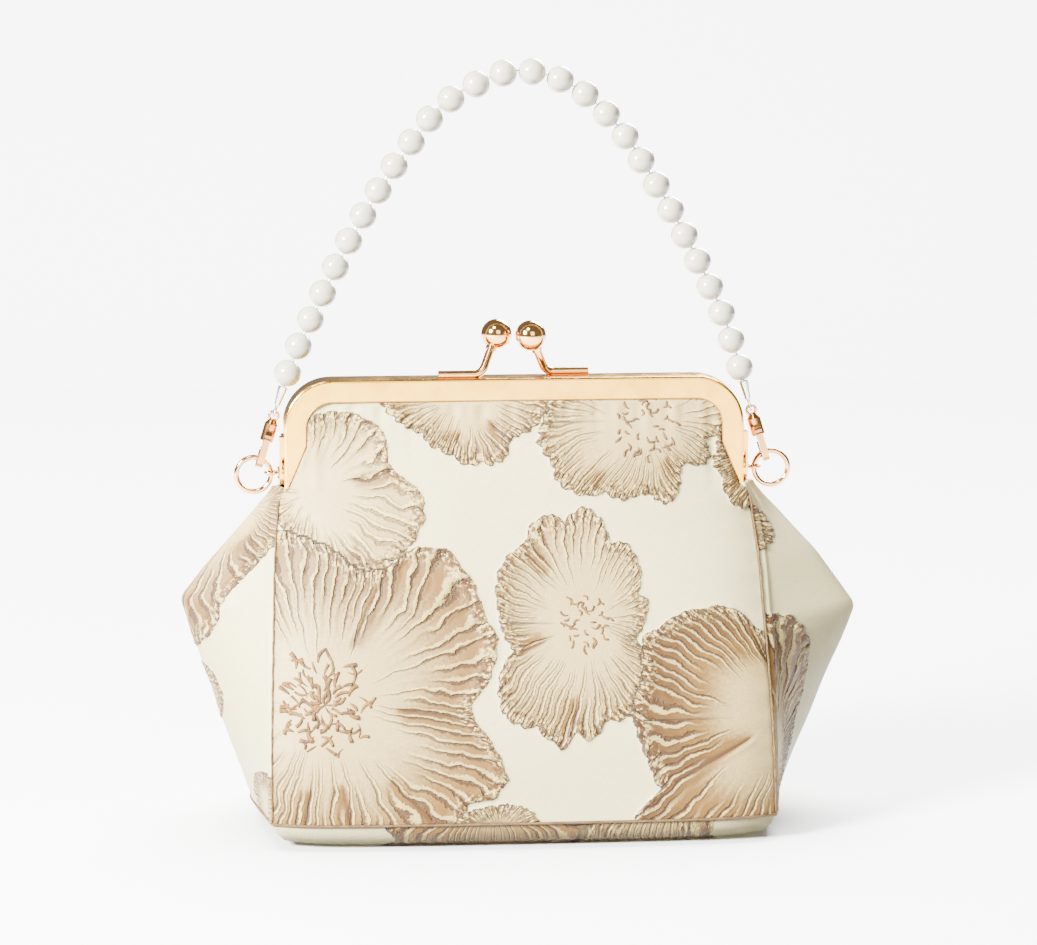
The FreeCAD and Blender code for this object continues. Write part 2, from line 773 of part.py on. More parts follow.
def hook_shape(sizes):
    """Return a hook in its own frame: a long bow, a slotted body, a neck and an eye."""
    outer = sizes["hook_outer"].value
    inner = sizes["hook_inner"].value
    thick = sizes["hook_thickness"].value
    body_radius = sizes["hook_body_radius"].value
    left = -thick / 2
    bow = Part.makeCylinder(outer, thick, Vector(left, 0, HOOK_CENTRE), X_AXIS)
    sides = Part.makeBox(thick, 2 * outer, HOOK_BODY_LOW + 2.2 - HOOK_CENTRE, Vector(left, -outer, HOOK_CENTRE))
    crown = Part.makeCylinder(outer, thick, Vector(left, 0, HOOK_BODY_LOW + 0.6), X_AXIS)
    sides = sides.cut(Part.makeBox(thick, 2 * outer, 3, Vector(left, -outer, HOOK_BODY_LOW + 0.6)))
    shape = bow.fuse(sides).fuse(crown)
    hole = Part.makeCylinder(inner, thick, Vector(left, 0, HOOK_CENTRE), X_AXIS)
    hole = hole.fuse(Part.makeBox(thick, 2 * inner, HOOK_BODY_LOW - HOOK_CENTRE, Vector(left, -inner, HOOK_CENTRE)))
    shape = shape.cut(hole)
    body = Part.makeCylinder(body_radius, HOOK_BODY_HIGH - HOOK_BODY_LOW, Vector(0, 0, HOOK_BODY_LOW), Z_AXIS)
    neck = Part.makeCone(body_radius, 1.1, HOOK_NECK_HIGH - HOOK_BODY_HIGH, Vector(0, 0, HOOK_BODY_HIGH), Z_AXIS)
    eye = Part.makeTorus(HOOK_EYE_RADIUS, HOOK_EYE_WIRE, Vector(0, 0, HOOK_EYE), Y_AXIS)
    shape = shape.fuse(body).fuse(neck).fuse(eye)
    sweep = Part.makeCylinder(GATE_RADIUS, thick, Vector(left, *LEVER_PIVOT), X_AXIS)
    gate = Part.makeBox(thick, outer, HOOK_BODY_LOW + 0.6 - GATE_LOW, Vector(left, 0.5, GATE_LOW))
    shape = shape.cut(gate.common(sweep))
    slot_width = sizes["lever_thickness"].value + 2 * sizes["lever_play"].value
    slot = Part.makeBox(slot_width, 9, HOOK_BODY_HIGH - 0.5 - HOOK_BODY_LOW + 1, Vector(-slot_width / 2, -0.9, HOOK_BODY_LOW - 1))
    bore = Part.makeCylinder(sizes["lever_pin_radius"].value, 8, Vector(-4, *LEVER_PIVOT), X_AXIS)
    return shape.cut(slot).cut(bore).removeSplitter()


def hook(shop, sizes, name, hand):
    """Make one end hook of the strand."""
    return shop.solid(name, hook_shape(sizes), hook_place(sizes, hand))


def lever(shop, sizes, name, hand):
    """Make a hook's sprung lever: it shuts the bow, and its thumb tab stands out behind."""
    thick = sizes["lever_thickness"].value
    y, z = LEVER_PIVOT
    swing = GATE_RADIUS - 0.1
    foot = [(a, z - math.sqrt(swing ** 2 - (a - y) ** 2)) for a in (2.75, 3.85)]
    outline = (foot[0], foot[1], (4.1, 5.2), (4.9, 6.6), (4.7, 7.6), (3.4, 8.0),
               (2.2, 10.0), (y + 0.9, z + 0.9), (y - 0.4, z + 1.0), (y - 0.9, z),
               (0.9, 8.4), (2.1, 7.2), (2.75, 5.6))
    corners = [Vector(-thick / 2, a, b) for a, b in outline]
    face = Part.Face(Part.makePolygon(corners + corners[:1]))
    shape = face.extrude(Vector(thick, 0, 0))
    bore = Part.makeCylinder(sizes["lever_pin_radius"].value + 0.05, 8, Vector(-4, y, z), X_AXIS)
    return shop.solid(name, shape.cut(bore), hook_place(sizes, hand))


def lever_pins(shop, sizes, name):
    """Make both lever pins, riveted through the hooks."""
    reach = 1.9
    pin = Part.makeCylinder(sizes["lever_pin_radius"].value, 2 * reach, Vector(-reach, *LEVER_PIVOT), X_AXIS)
    return shop.solid(name, Part.makeCompound([placed(pin, hook_place(sizes, hand)) for _, hand in HANDS]))


def lever_springs(shop, sizes, name):
    """Make both lever springs: a flat leaf at the back of each hook's slot."""
    width = 1.0
    leaf = Part.makeBox(width, sizes["lever_spring"].value, 3.2, Vector(-width / 2, -0.9, 7.4))
    return shop.solid(name, Part.makeCompound([placed(leaf, hook_place(sizes, hand)) for _, hand in HANDS]))


def placed(shape, placement):
    """Return a copy of a shape moved to a placement."""
    copy = shape.copy()
    copy.Placement = placement
    return copy


LOOP_CENTRE = 16.4
LOOP_RADIUS = 1.3
LOOP_WIRE = 0.4


def strand_path(sizes):
    """Return the strand's centreline between the two loops, and its arcs' radii."""
    top = LOOP_CENTRE + LOOP_RADIUS
    ends = [hook_place(sizes, hand).multVec(Vector(0, 0, top)) for _, hand in HANDS]
    middle = [Vector(x, 0, z) for x, z in STRAND_ROUTE]
    points = [ends[0]] + middle + [ends[1]]
    return rounded_path(points, lambda shorter, turn: 0.45 * shorter / math.tan(turn / 2))


def strand_wire(shop, sizes, name, path):
    """Make the strand's wire, with a closed loop through each hook's eye."""
    shape = tube_along(path, sizes["strand_wire"].value)
    for _, hand in HANDS:
        loop = Part.makeTorus(LOOP_RADIUS, LOOP_WIRE, Vector(0, 0, LOOP_CENTRE), X_AXIS)
        shape = shape.fuse(placed(loop, hook_place(sizes, hand)))
    return shop.solid(name, shape)


def point_along(path, distance):
    """Return the point on a wire at a distance from its start, and the heading there."""
    for edge in path.Edges:
        if distance <= edge.Length:
            spot = edge.getParameterByLength(distance)
            return edge.valueAt(spot), edge.tangentAt(spot)
        distance -= edge.Length
    last = path.Edges[-1]
    return last.valueAt(last.LastParameter), last.tangentAt(last.LastParameter)


def bead(shop, sizes, name, place, heading):
    """Make one round bead, bored along the wire."""
    radius = sizes["bead_radius"]
    turn = Rotation(Z_AXIS, heading)
    ball = shop.primitive("Sphere", name + "_ball", (0, 0, 0), None, Radius=radius)
    bore = shop.rod_z(name + "_bore", sizes["bead_bore"], 0, 0, -radius - 1, radius + 1)
    thing = shop.cut(name, ball, bore)
    thing.Placement = FreeCAD.Placement(place, turn)
    return thing


def crimp(shop, sizes, name, path, hand):
    """Make the tapered tube that closes the wire between an end bead and its loop."""
    gap = 1.3
    total = path.Length
    start = gap if hand < 0 else total - gap
    place, heading = point_along(path, start)
    heading = heading * (-hand)
    length = sizes["crimp_length"].value
    cone = Part.makeCone(sizes["crimp_tip_radius"].value, sizes["crimp_radius"].value, length)
    bore = Part.makeCylinder(sizes["crimp_bore"].value, length + 2, Vector(0, 0, -1))
    return shop.solid(name, cone.cut(bore), FreeCAD.Placement(place, Rotation(Z_AXIS, heading)))


def make_frame(shop, sizes):
    """Make both frame halves with what is fixed to them."""
    outer_ear = sizes["frame_half_width"] + sizes["ear_thickness"] + sizes["ear_play"] * 2
    inner_ear = sizes["frame_half_width"] + sizes["ear_play"]
    parts = {}
    for label, side, ear in (("front", -1, outer_ear), ("back", 1, inner_ear)):
        parts[label + "_frame"] = frame_half(shop, sizes, label + "_half", side, ear)
        parts[label + "_paper_cord"] = paper_cord(shop, sizes, label + "_stuffing", side)
        parts[label + "_lock_rod"] = lock_rod(shop, sizes, label + "_rod", side)
        parts[label + "_lock_ball"] = lock_ball(shop, sizes, label + "_ball", side)
        parts[label + "_panel_top"] = frame_cloth(shop, sizes, label + "_cloth", side)
    return parts


def make_bag(shop, sizes):
    """Make the sewn bag and what is fixed to it."""
    parts = {
        "front_panel": face_panel(shop, sizes, "front_face", -1),
        "back_panel": face_panel(shop, sizes, "back_face", 1),
        "bottom_panel": bottom_panel(shop, sizes, "bottom_tray"),
        "lining": lining(shop, sizes, "inner_bag"),
        "base_board": base_board(shop, sizes, "stiff_board"),
        "slip_pocket": slip_pocket(shop, sizes, "flat_pocket"),
    }
    for label, hand in HANDS:
        parts[label + "_gusset"] = gusset(shop, sizes, label + "_side", hand)
        parts[label + "_eye_pin"] = eye_pin(shop, sizes, label + "_pin", hand)
        parts[label + "_ring"] = ring(shop, sizes, label + "_loop", hand)
    return parts


def make_strand(shop, sizes):
    """Make the beaded strand with its hooks, levers, crimps and beads."""
    path, radii = strand_path(sizes)
    print("strand length %.1f, arc radii %s" % (path.Length, ", ".join("%.0f" % r for r in radii)))
    parts = {
        "strand_wire": strand_wire(shop, sizes, "wire", path),
        "lever_pins": lever_pins(shop, sizes, "rivets"),
        "lever_springs": lever_springs(shop, sizes, "leaves"),
    }
    for label, hand in HANDS:
        parts[label + "_hook"] = hook(shop, sizes, label + "_clip", hand)
        parts[label + "_lever"] = lever(shop, sizes, label + "_gate", hand)
        parts[label + "_crimp"] = crimp(shop, sizes, label + "_sleeve", path, hand)
    count = int(sizes["bead_count"].value)
    lead = 12.4
    pitch = (path.Length - 2 * lead) / (count - 1)
    print("bead pitch %.2f" % pitch)
    for index in range(count):
        place, heading = point_along(path, lead + index * pitch)
        label = "bead_%02d" % (index + 1)
        parts[label] = bead(shop, sizes, label + "_bored", place, heading)
    return parts


def check_and_write(doc, parts):
    """Stop if anything failed, then write every sub-part to its own file."""
    for thing in doc.Objects:
        if "Invalid" in thing.State or "Error" in thing.State:
            raise ValueError("%s (%s) failed: %s" % (thing.Label, thing.Name, thing.State))
    os.makedirs("parts", exist_ok=True)
    for label, thing in parts.items():
        thing.Label = label
        shape = thing.Shape
        if shape.isNull() or not shape.isValid() or not shape.Solids:
            raise ValueError(label + " has no valid solid")
        shape.exportStep(os.path.join("parts", label + ".step"))
    print("%d sub-parts written" % len(parts))


def main():
    doc = FreeCAD.newDocument("evening_bag")
    sizes = make_sizes(doc)
    shop = Shop(doc)
    parts = make_bag(shop, sizes)
    parts.update(make_frame(shop, sizes))
    parts.update(make_strand(shop, sizes))
    doc.recompute()
    check_and_write(doc, parts)


main()
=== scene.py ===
"""Looks of the brocade evening bag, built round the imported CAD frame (metres)."""
import json
import math
from collections import namedtuple

import bpy
import numpy as np
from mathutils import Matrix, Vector


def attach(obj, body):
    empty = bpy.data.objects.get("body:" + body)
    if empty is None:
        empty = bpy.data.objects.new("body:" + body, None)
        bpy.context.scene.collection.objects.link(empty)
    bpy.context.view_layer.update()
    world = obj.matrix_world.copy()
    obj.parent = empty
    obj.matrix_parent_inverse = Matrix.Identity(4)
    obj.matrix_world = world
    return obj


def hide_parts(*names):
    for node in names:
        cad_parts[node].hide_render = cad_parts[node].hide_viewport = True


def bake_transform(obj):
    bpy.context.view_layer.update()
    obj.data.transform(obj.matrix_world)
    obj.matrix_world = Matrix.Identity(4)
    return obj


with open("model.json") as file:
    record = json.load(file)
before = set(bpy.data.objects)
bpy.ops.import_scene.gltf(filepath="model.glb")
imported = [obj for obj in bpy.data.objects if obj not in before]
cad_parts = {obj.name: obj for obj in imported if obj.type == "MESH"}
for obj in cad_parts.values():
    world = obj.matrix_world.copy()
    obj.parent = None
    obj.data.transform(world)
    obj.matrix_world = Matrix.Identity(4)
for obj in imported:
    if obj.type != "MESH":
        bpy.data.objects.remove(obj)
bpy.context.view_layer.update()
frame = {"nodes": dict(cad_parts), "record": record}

MM = 0.001
SIDES = (("front", -1), ("back", 1))
HANDS = (("left", -1), ("right", 1))

# ---- sizes, in millimetres

SEAM_HEIGHT = 8.5  # where the panels and gussets meet the bottom
SEAM_INSET = 0.9  # how far inside the panel's corner a side seam lies
SEAM_ROLL = 4.0  # how far a panel rolls back at its side seams
ROLL_WIDTH = 8.0  # how wide that roll is
CROWN = 2.6  # how flat-topped a panel's crown is
CLOTH = 0.9  # thickness of the brocade
FRAME_INSIDE = 5.05  # depth of the cloth where the frame grips it
SHADOW_LINE_DEPTH = 5.85  # depth of the dark tube along the frame's inner edge, a painted shadow
CORNER_X = 61.0  # centre of the frame opening's rounded corner
CORNER_Z = 134.0
CORNER_RADIUS = 8.7
LEG_INSIDE = 69.7  # half width of the opening between the frame's legs
LEG_SPLAY = 6.1  # how far a leg has moved outwards at its tip
LEG_BEND = 128.0  # where the legs start to splay
LEG_TIP = 113.6  # where the legs end
FREE_HEIGHT = 102.0  # the cloth hangs free below this
HELD_HEIGHT = 116.0  # and is held by the frame above this
STITCH_LIMIT = 80.5  # no embroidered stitch reaches further from the middle
STROKE_TWIST = 60.0  # degrees that a stitch may turn from its ray
BIG_HEART = (-65.7, 47.2)  # the big flower's heart: X and height
MIDDLE_HEART = (20.7, 72.2)
BACK_HEART = (60.0, 50.0)  # the big flower's heart on the back
POCKET_REACH = 0.53  # half width of the slip pocket, as a share of the panel's

# Front and back: height, half width, depth at the seams, depth in the middle.
PANEL_LEVELS = np.array((
    (SEAM_HEIGHT, 84.0, 47.5, 49.7),
    (30.0, 83.8, 43.5, 46.5),
    (60.0, 82.8, 33.5, 37.5),
    (74.0, 82.2, 27.5, 32.6),
    (90.0, 81.5, 20.5, 27.5),
    (104.0, 80.2, 12.5, 22.0),
    (110.0, 79.5, 9.0, 19.4),
    (118.3, 76.6, 5.2, 16.2),
    (130.2, 75.2, 4.9, 10.4),
    (142.2, 72.6, 4.8, 5.6),
    (148.0, 65.0, 4.7, 4.8),
))

# Gussets: height, half width of the bag at the fold on the left and on the right.
FOLD_LEVELS = np.array((
    (SEAM_HEIGHT, 88.5, 89.5),
    (30.0, 96.0, 98.8),
    (56.0, 104.8, 110.0),
    (71.0, 109.8, 116.2),
    (77.0, 111.8, 112.0),
    (90.0, 101.2, 102.4),
    (104.0, 88.0, 88.8),
    (110.0, 82.6, 82.8),
    (114.5, 79.6, 79.6),
))

# Bottom: height, half width, depth at the seams, depth in the middle, half width at the fold.
BASE_LEVELS = np.array((
    (0.0, 71.0, 37.0, 38.5, 74.0),
    (0.5, 75.6, 40.6, 42.4, 78.8),
    (2.4, 80.4, 44.4, 46.6, 84.6),
    (5.2, 82.8, 46.6, 48.8, 87.4),
    (SEAM_HEIGHT, 84.0, 47.5, 49.7, 88.5),
))


# ---- small maths

def smooth_read(levels, column, height):
    """Read one column of a table at any height, with a smooth curve through its rows."""
    rows = levels[:, 0]
    values = levels[:, column]
    slopes = np.gradient(values, rows)
    height = np.clip(height, rows[0], rows[-1])
    index = np.clip(np.searchsorted(rows, height) - 1, 0, len(rows) - 2)
    span = rows[index + 1] - rows[index]
    t = (height - rows[index]) / span
    near = values[index] * (2 * t ** 3 - 3 * t ** 2 + 1) + span * slopes[index] * (t ** 3 - 2 * t ** 2 + t)
    far = values[index + 1] * (3 * t ** 2 - 2 * t ** 3) + span * slopes[index + 1] * (t ** 3 - t ** 2)
    return near + far


def smooth_step(low, high, value):
    t = np.clip((value - low) / (high - low), 0, 1)
    return t * t * (3 - 2 * t)


def soft_least(a, b, softness):
    """Return the smaller of two values, rounded where they cross."""
    blend = np.clip(0.5 + 0.5 * (b - a) / softness, 0, 1)
    return b + (a - b) * blend - softness * blend * (1 - blend)


def wobble(a, b, size, seed):
    """Return a smooth, irregular value from -1 to 1 over a surface."""
    a = a / size
    b = b / size
    first = np.sin(2.1 * a + 1.7 * np.sin(1.3 * b + seed) + seed)
    second = np.sin(2.6 * b + 1.4 * np.sin(1.9 * a - 0.7 * seed) + 2.3 * seed)
    third = np.sin(3.9 * (a + b) + 3.1 * seed)
    return (first + second + 0.6 * third) / 2.6


# ---- woven flowers

# A kind of flower: its woven lines, how deep its gold is, the share of its radius left plain,
# how wavy its rim is, and its outline as degrees and radius.
Kind = namedtuple("Kind", "lines tone clear ruffle outline")


class Flower:
    """One woven flower of a kind: its centre, its own irregularity and its creases (degrees, start)."""

    def __init__(self, kind, centre, seed, creases=()):
        self.kind = kind
        self.centre = centre
        self.seed = seed
        self.creases = creases
        self.angles = np.radians([a for a, _ in kind.outline])
        self.radii = np.array([r for _, r in kind.outline], float)

    def radius(self, angle):
        """Return the outline's radius at an angle, with its small ruffles."""
        order = np.argsort(self.angles)
        turns = self.angles[order]
        radii = self.radii[order]
        turns = np.concatenate((turns - 2 * math.pi, turns, turns + 2 * math.pi))
        plain = np.interp(angle, turns, np.tile(radii, 3))
        frill = np.abs(np.sin(self.kind.lines * 0.35 * angle + 2 * np.sin(3 * angle + self.seed)))
        return plain * (1 + self.kind.ruffle * (frill - 0.5))

    def fields(self, a, b):
        """Return this flower's edge distance, tone with its painted crease shadow, fan relief, growth and
        line count.
        """
        across = a - self.centre[0]
        up = b - self.centre[1]
        reach = np.hypot(across, up)
        angle = np.arctan2(up, across)
        limit = self.radius(angle)
        share = reach / limit
        edge = (limit - reach) * 0.9
        bend = 0.20 * np.sin(4 * angle + self.seed) + 0.12 * wobble(a, b, 16, self.seed)
        turns = self.kind.lines * (angle + bend * (share - 0.5)) / (2 * math.pi)
        grown = (share - self.kind.clear) / (1 - self.kind.clear)
        ridge = np.mod(turns + 0.20 * wobble(a, b, 5.0, self.seed), 1.0)
        fan = np.exp(-((ridge - 0.70) / 0.16) ** 2) - np.exp(-((ridge - 0.45) / 0.10) ** 2)
        fan = fan * smooth_step(0.05, 0.35, grown)
        tone = self.kind.tone * (0.10 + 0.90 * smooth_step(-0.1, 1.0, grown))
        tone = tone + 0.25 * smooth_step(0.84, 0.97, share)
        for degrees, inner in self.creases:
            offset = np.angle(np.exp(1j * (angle - math.radians(degrees))))
            away = offset * reach
            reached = smooth_step(inner, inner + 5, reach) * (np.abs(offset) < 1)
            # Each crease is a sunken groove with a raised lip beside it; the shader also paints the
            # deepest part of the groove brown, a painted shade.
            fan = fan - 1.6 * np.exp(-(away / 0.7) ** 2) * reached
            fan = fan + 1.2 * np.exp(-((away - 1.5) / 0.9) ** 2) * reached
            # Painted shadow: tone is raised along the crease and in a broad band on one side of it, as if
            # the overlapping petal shaded it.
            shaded = np.exp(-(away / 0.7) ** 2) + 0.7 * np.exp(-(away / 4.0) ** 2) * (away < 0)
            tone = tone + 0.9 * shaded * reached * smooth_step(0.1, 0.5, share)
        return edge, tone, fan, grown, turns


BIG_FLOWER = Kind(70, 0.95, 0.28, 0.012, (
    (0, 48), (8, 55), (19, 61), (28, 60), (36, 62.5), (50, 64), (58, 58), (64, 47), (70, 45), (75, 44),
    (86, 49), (97, 53), (105, 56), (120, 55), (150, 52), (180, 48), (210, 46), (235, 50), (270, 56),
    (305, 60), (318, 60), (325, 56), (331, 63), (338, 64.5), (346, 57), (354, 49),
))
MIDDLE_FLOWER = Kind(64, 0.60, 0.34, 0.03, (
    (6, 21), (16, 22.5), (26, 20), (36, 24), (46, 26.5), (60, 29), (69, 26.5), (78, 33), (88, 36.7),
    (97, 34), (100, 32.5), (107, 36), (118, 35.5), (128, 31.5), (134, 32.5), (146, 33), (158, 31.5),
    (172, 29), (186, 27.5), (200, 25.5), (206, 31), (216, 36.5), (226, 40), (236, 39.5), (242, 37),
    (250, 39), (258, 41), (264, 35), (270, 37.5), (276, 36), (280, 31.5), (288, 33), (297, 33), (306, 30),
    (312, 27.7), (322, 27), (334, 21), (342, 17.5), (352, 19),
))
UPPER_LEFT_FLOWER = Kind(34, 0.42, 0.30, 0.03, (
    (-100, 18), (-84, 22), (-68, 26.5), (-56, 31), (-44, 33.5), (-28, 36), (-14, 37.5), (-6, 37), (3, 34),
    (12, 28), (20, 26.5), (28, 29), (38, 30), (48, 30), (58, 29), (68, 27.5), (84, 25), (110, 20),
    (150, 16), (190, 15), (230, 16),
))
UPPER_FLOWER = Kind(50, 0.70, 0.38, 0.05, (
    (-9, 28.5), (-18, 26.5), (-28, 24.5), (-38, 21.5), (-46, 21), (-56, 24), (-68, 24), (-78, 22),
    (-90, 22.5), (-102, 20), (-116, 19.5), (-128, 20), (-140, 19), (-152, 22), (-164, 25), (-174, 28),
    (160, 26), (120, 22), (60, 22),
))
UPPER_RIGHT_FLOWER = Kind(72, 0.50, 0.36, 0.04, (
    (6, 30), (-8, 27.5), (-14, 24), (-19, 21), (-28, 25), (-36, 25), (-41, 23.5), (-47, 19.5),
    (-54, 19.5), (-60, 23), (-70, 27), (-78, 27.5), (-84, 25.5), (-90, 23.5), (-98, 24), (-108, 26.5),
    (-116, 27), (-124, 27), (-130, 31), (-138, 33.5), (-148, 36), (-158, 34.5), (-170, 37), (176, 34),
    (140, 24), (90, 20), (40, 26),
))
LOWER_RIGHT_FLOWER = Kind(72, 1.8, 0.34, 0.015, (
    (90, 24), (104, 26), (110, 29), (116, 37.5), (123, 42), (131, 45.5), (137, 49), (146, 52),
    (152, 55.5), (158, 53), (165, 51), (172, 52.5), (178, 53.5), (184, 52), (196, 50), (204, 50),
    (207, 49.5), (210, 60), (214, 67), (224, 66), (236, 60), (270, 50), (320, 44), (0, 40), (40, 34),
))
LEG_FLOWER = Kind(46, 0.85, 0.25, 0.05, (
    (100, 20), (140, 17), (170, 15), (190, 16.5), (205, 14.5), (222, 17), (240, 18.5), (262, 18),
    (300, 20),
))
BAND_FLOWER = Kind(60, 1.3, 0.1, 0.03, (
    (0, 43), (40, 24), (90, 20), (140, 24), (180, 40), (220, 24), (270, 20), (320, 26),
))
BASE_FLOWER = Kind(36, 0.85, 0.2, 0.05, (
    (0, 15), (30, 14), (60, 11), (90, 9.5), (120, 10), (150, 13), (180, 16), (240, 12), (300, 12),
))
FAR_LEFT_FLOWER = Kind(60, 1.1, 0.16, 0.02, (
    (20, 16), (0, 21), (-16, 25), (-30, 27.5), (-42, 32), (-52, 37), (-64, 42), (-78, 45), (-90, 46),
    (-104, 44), (-130, 40), (-160, 30), (170, 22), (120, 16), (70, 14),
))
FAR_RIGHT_FLOWER = Kind(64, 1.5, 0.18, 0.02, (
    (60, 44), (78, 47), (92, 48.5), (106, 48), (118, 43), (130, 34), (150, 24), (180, 18), (230, 16),
    (300, 22), (20, 38),
))


def front_flowers():
    """Return the front's flowers, in the order they are woven over each other."""
    return (
        Flower(UPPER_LEFT_FLOWER, (-68.0, 114.0), 1.4, ((15, 12), (-52, 20))),
        Flower(UPPER_FLOWER, (-16.8, 144.5), 2.2, ((-100, 10), (-46, 9))),
        Flower(UPPER_RIGHT_FLOWER, (43.5, 135.6), 3.1, ((-130, 20), (-60, 12))),
        Flower(LEG_FLOWER, (82.5, 123.0), 4.0),
        Flower(BIG_FLOWER, BIG_HEART, 0.6, ((63, 18), (-4, 22), (-47, 30), (-78, 24), (-100, 26))),
        Flower(MIDDLE_FLOWER, MIDDLE_HEART, 1.9, ((131, 18), (203, 12), (340, 12), (262, 22), (72, 22))),
        Flower(LOWER_RIGHT_FLOWER, (88.5, 41.0), 2.7, ((207, 12), (112, 14))),
        Flower(BASE_FLOWER._replace(tone=0.95, clear=0.1, ruffle=0.04), (-10.0, 5.0), 3.6),
    )


def back_flowers():
    return (
        Flower(BIG_FLOWER, BACK_HEART, 1.6, ((63, 18), (-4, 22), (-47, 30))),
        Flower(MIDDLE_FLOWER, (-24.0, 96.0), 0.9, ((131, 18), (203, 12), (340, 12), (262, 22))),
        Flower(LOWER_RIGHT_FLOWER, (-58.0, 26.0), 3.3, ((207, 12), (112, 14))),
        Flower(UPPER_RIGHT_FLOWER, (-66.0, 142.0), 2.1, ((-130, 20),)),
        Flower(UPPER_FLOWER, (34.0, 150.0), 1.2, ((-100, 10),)),
    )


def left_flowers():
    return (
        Flower(FAR_LEFT_FLOWER, (-4.0, 106.0), 1.1, ((-34, 12),)),
        Flower(BASE_FLOWER._replace(tone=0.75), (-6.0, 46.0), 2.0),
        Flower(BASE_FLOWER, (34.0, 14.0), 2.9),
    )


def right_flowers():
    return (
        Flower(FAR_RIGHT_FLOWER, (40.0, 24.0), 1.7, ((66, 12),)),
        Flower(BASE_FLOWER, (24.0, 104.0), 2.6),
        Flower(MIDDLE_FLOWER, (-26.0, 70.0), 0.4, ((131, 18),)),
    )


def bottom_flowers():
    return (
        Flower(UPPER_LEFT_FLOWER._replace(tone=0.9, clear=0.2), (-12.0, 40.0), 0.8),
        Flower(BAND_FLOWER, (-12.0, -34.0), 2.2),
        Flower(MIDDLE_FLOWER, (46.0, -14.0), 1.8),
    )


# Edge distance, tone (with painted crease shadow), fan relief, growth from the clear heart, and the
# running count of woven lines.
PATTERN_FIELDS = ("petal_edge", "petal_tone", "petal_fan", "petal_grown", "petal_turns")
OUTSIDE = -6.0  # the edge distance well outside every flower
DEEP_INSIDE = 20.0  # and the largest one that is kept


def pattern(flowers, a, b):
    """Return the woven pattern's fields over a surface, with later flowers on top."""
    found = [np.full(a.shape, OUTSIDE)] + [np.zeros(a.shape) for _ in PATTERN_FIELDS[1:]]
    for flower in flowers:
        new = flower.fields(a, b)
        on_top = new[0] > 0
        found[0] = np.where(on_top, new[0], np.maximum(found[0], new[0]))
        for index in range(1, len(found)):
            found[index] = np.where(on_top, new[index], found[index])
    found[0] = np.clip(found[0], OUTSIDE, DEEP_INSIDE)
    return found


def relief(edge, fan, a, b):
    """Return how far the woven pattern stands out of the ground."""
    rise = smooth_step(-0.25, 0.55, edge)
    lip = np.exp(-((edge - 0.9) / 0.7) ** 2)
    frill = np.exp(-((edge - 2.4) / 2.6) ** 2) * wobble(a, b, 1.7, 0.9)
    return 0.32 * rise + 0.22 * lip + rise * (0.24 * fan + 0.20 * frill)


# ---- the bag's surfaces

def under_frame(x, z):
    """Return the distance inwards from the frame face's inner edge: above 0 is open cloth."""
    inner = LEG_INSIDE + LEG_SPLAY * np.clip((LEG_BEND - z) / (LEG_BEND - LEG_TIP), 0, 1)
    beside = inner - np.abs(x)
    below = CORNER_Z + CORNER_RADIUS - z
    rounded = CORNER_RADIUS - np.hypot(np.abs(x) - CORNER_X, z - CORNER_Z)
    in_corner = (np.abs(x) > CORNER_X) & (z > CORNER_Z)
    distance = np.where(in_corner, rounded, np.minimum(beside, below))
    past_tip = np.clip(LEG_TIP - z, 0, None) * 1.6
    return np.where(z < LEG_TIP, np.maximum(distance, 0) + past_tip, distance)


def below_frame(z):
    """Return 1 on the free cloth, falling to 0 where the frame holds it."""
    return 1 - smooth_step(FREE_HEIGHT, HELD_HEIGHT, z)


def crowned(share, seam, middle):
    """Return the depth of a crowned panel, at a share of the way from its middle to its seam."""
    return seam + (middle - seam) * (1 - share ** CROWN)


def rolled_back(from_seam):
    """Return how far a panel rolls back at a distance from its side seam."""
    return SEAM_ROLL * np.exp(-(from_seam / ROLL_WIDTH) ** 1.2)


def folded(along):
    """Return 0 at a gusset's fold and 1 or -1 at its seams, with the fold itself slightly rounded."""
    softness = 0.012
    sharp = math.sqrt(softness)
    return (np.sqrt(along ** 2 + softness) - sharp) / (math.sqrt(1 + softness) - sharp)


def seam_line(z):
    """Return where a side seam runs at a height: X and depth."""
    depth = smooth_read(PANEL_LEVELS, 2, z) - SEAM_ROLL * below_frame(z)
    return smooth_read(PANEL_LEVELS, 1, z) - SEAM_INSET, depth


def panel_depth(x, z, width):
    """Return the depth of the front or back surface at a place, before the woven relief."""
    seam = smooth_read(PANEL_LEVELS, 2, z)
    middle = smooth_read(PANEL_LEVELS, 3, z)
    share = np.clip(np.abs(x) / width, 0, 1)
    from_seam = (1 - share) * width
    free = below_frame(z)
    depth = crowned(share, seam, middle) - free * rolled_back(from_seam)
    uneven = smooth_step(0, 12, from_seam) * smooth_step(0, 14, z - SEAM_HEIGHT)
    depth = depth + 0.45 * wobble(x, z, 30, 0.7) * uneven
    puckers = np.sin(z * 0.82 + 0.6 * np.sin(z * 0.21))
    depth = depth + 0.16 * puckers * np.exp(-from_seam / 4.0) * free
    open_cloth = under_frame(x, z)
    gather = 0.34 * np.sin(x * 0.62 + 1.3 * np.sin(x * 0.11)) + 0.18 * np.sin(x * 1.31 + 0.5)
    near_frame = np.exp(-np.clip(open_cloth - 2, 0, None) / 6.0) * smooth_step(0.3, 3.5, open_cloth)
    depth = depth + gather * near_frame * (z > LEG_TIP)
    limit = FRAME_INSIDE + 1.5 * np.clip(open_cloth, 0, None)
    return soft_least(depth, limit, 0.5)


def panel_surface(across, z, side, inset=0.0, raised=None):
    """Return points of the front or back cloth: across is -1 to 1, seam to seam."""
    width = seam_line(z)[0]
    x = across * (width - 1.1 * inset)
    depth = panel_depth(across * width, z, width) - inset
    if raised is not None:
        covered = smooth_step(0.0, 0.8, under_frame(x, z))
        depth = depth + raised * covered
    return x, side * depth, z


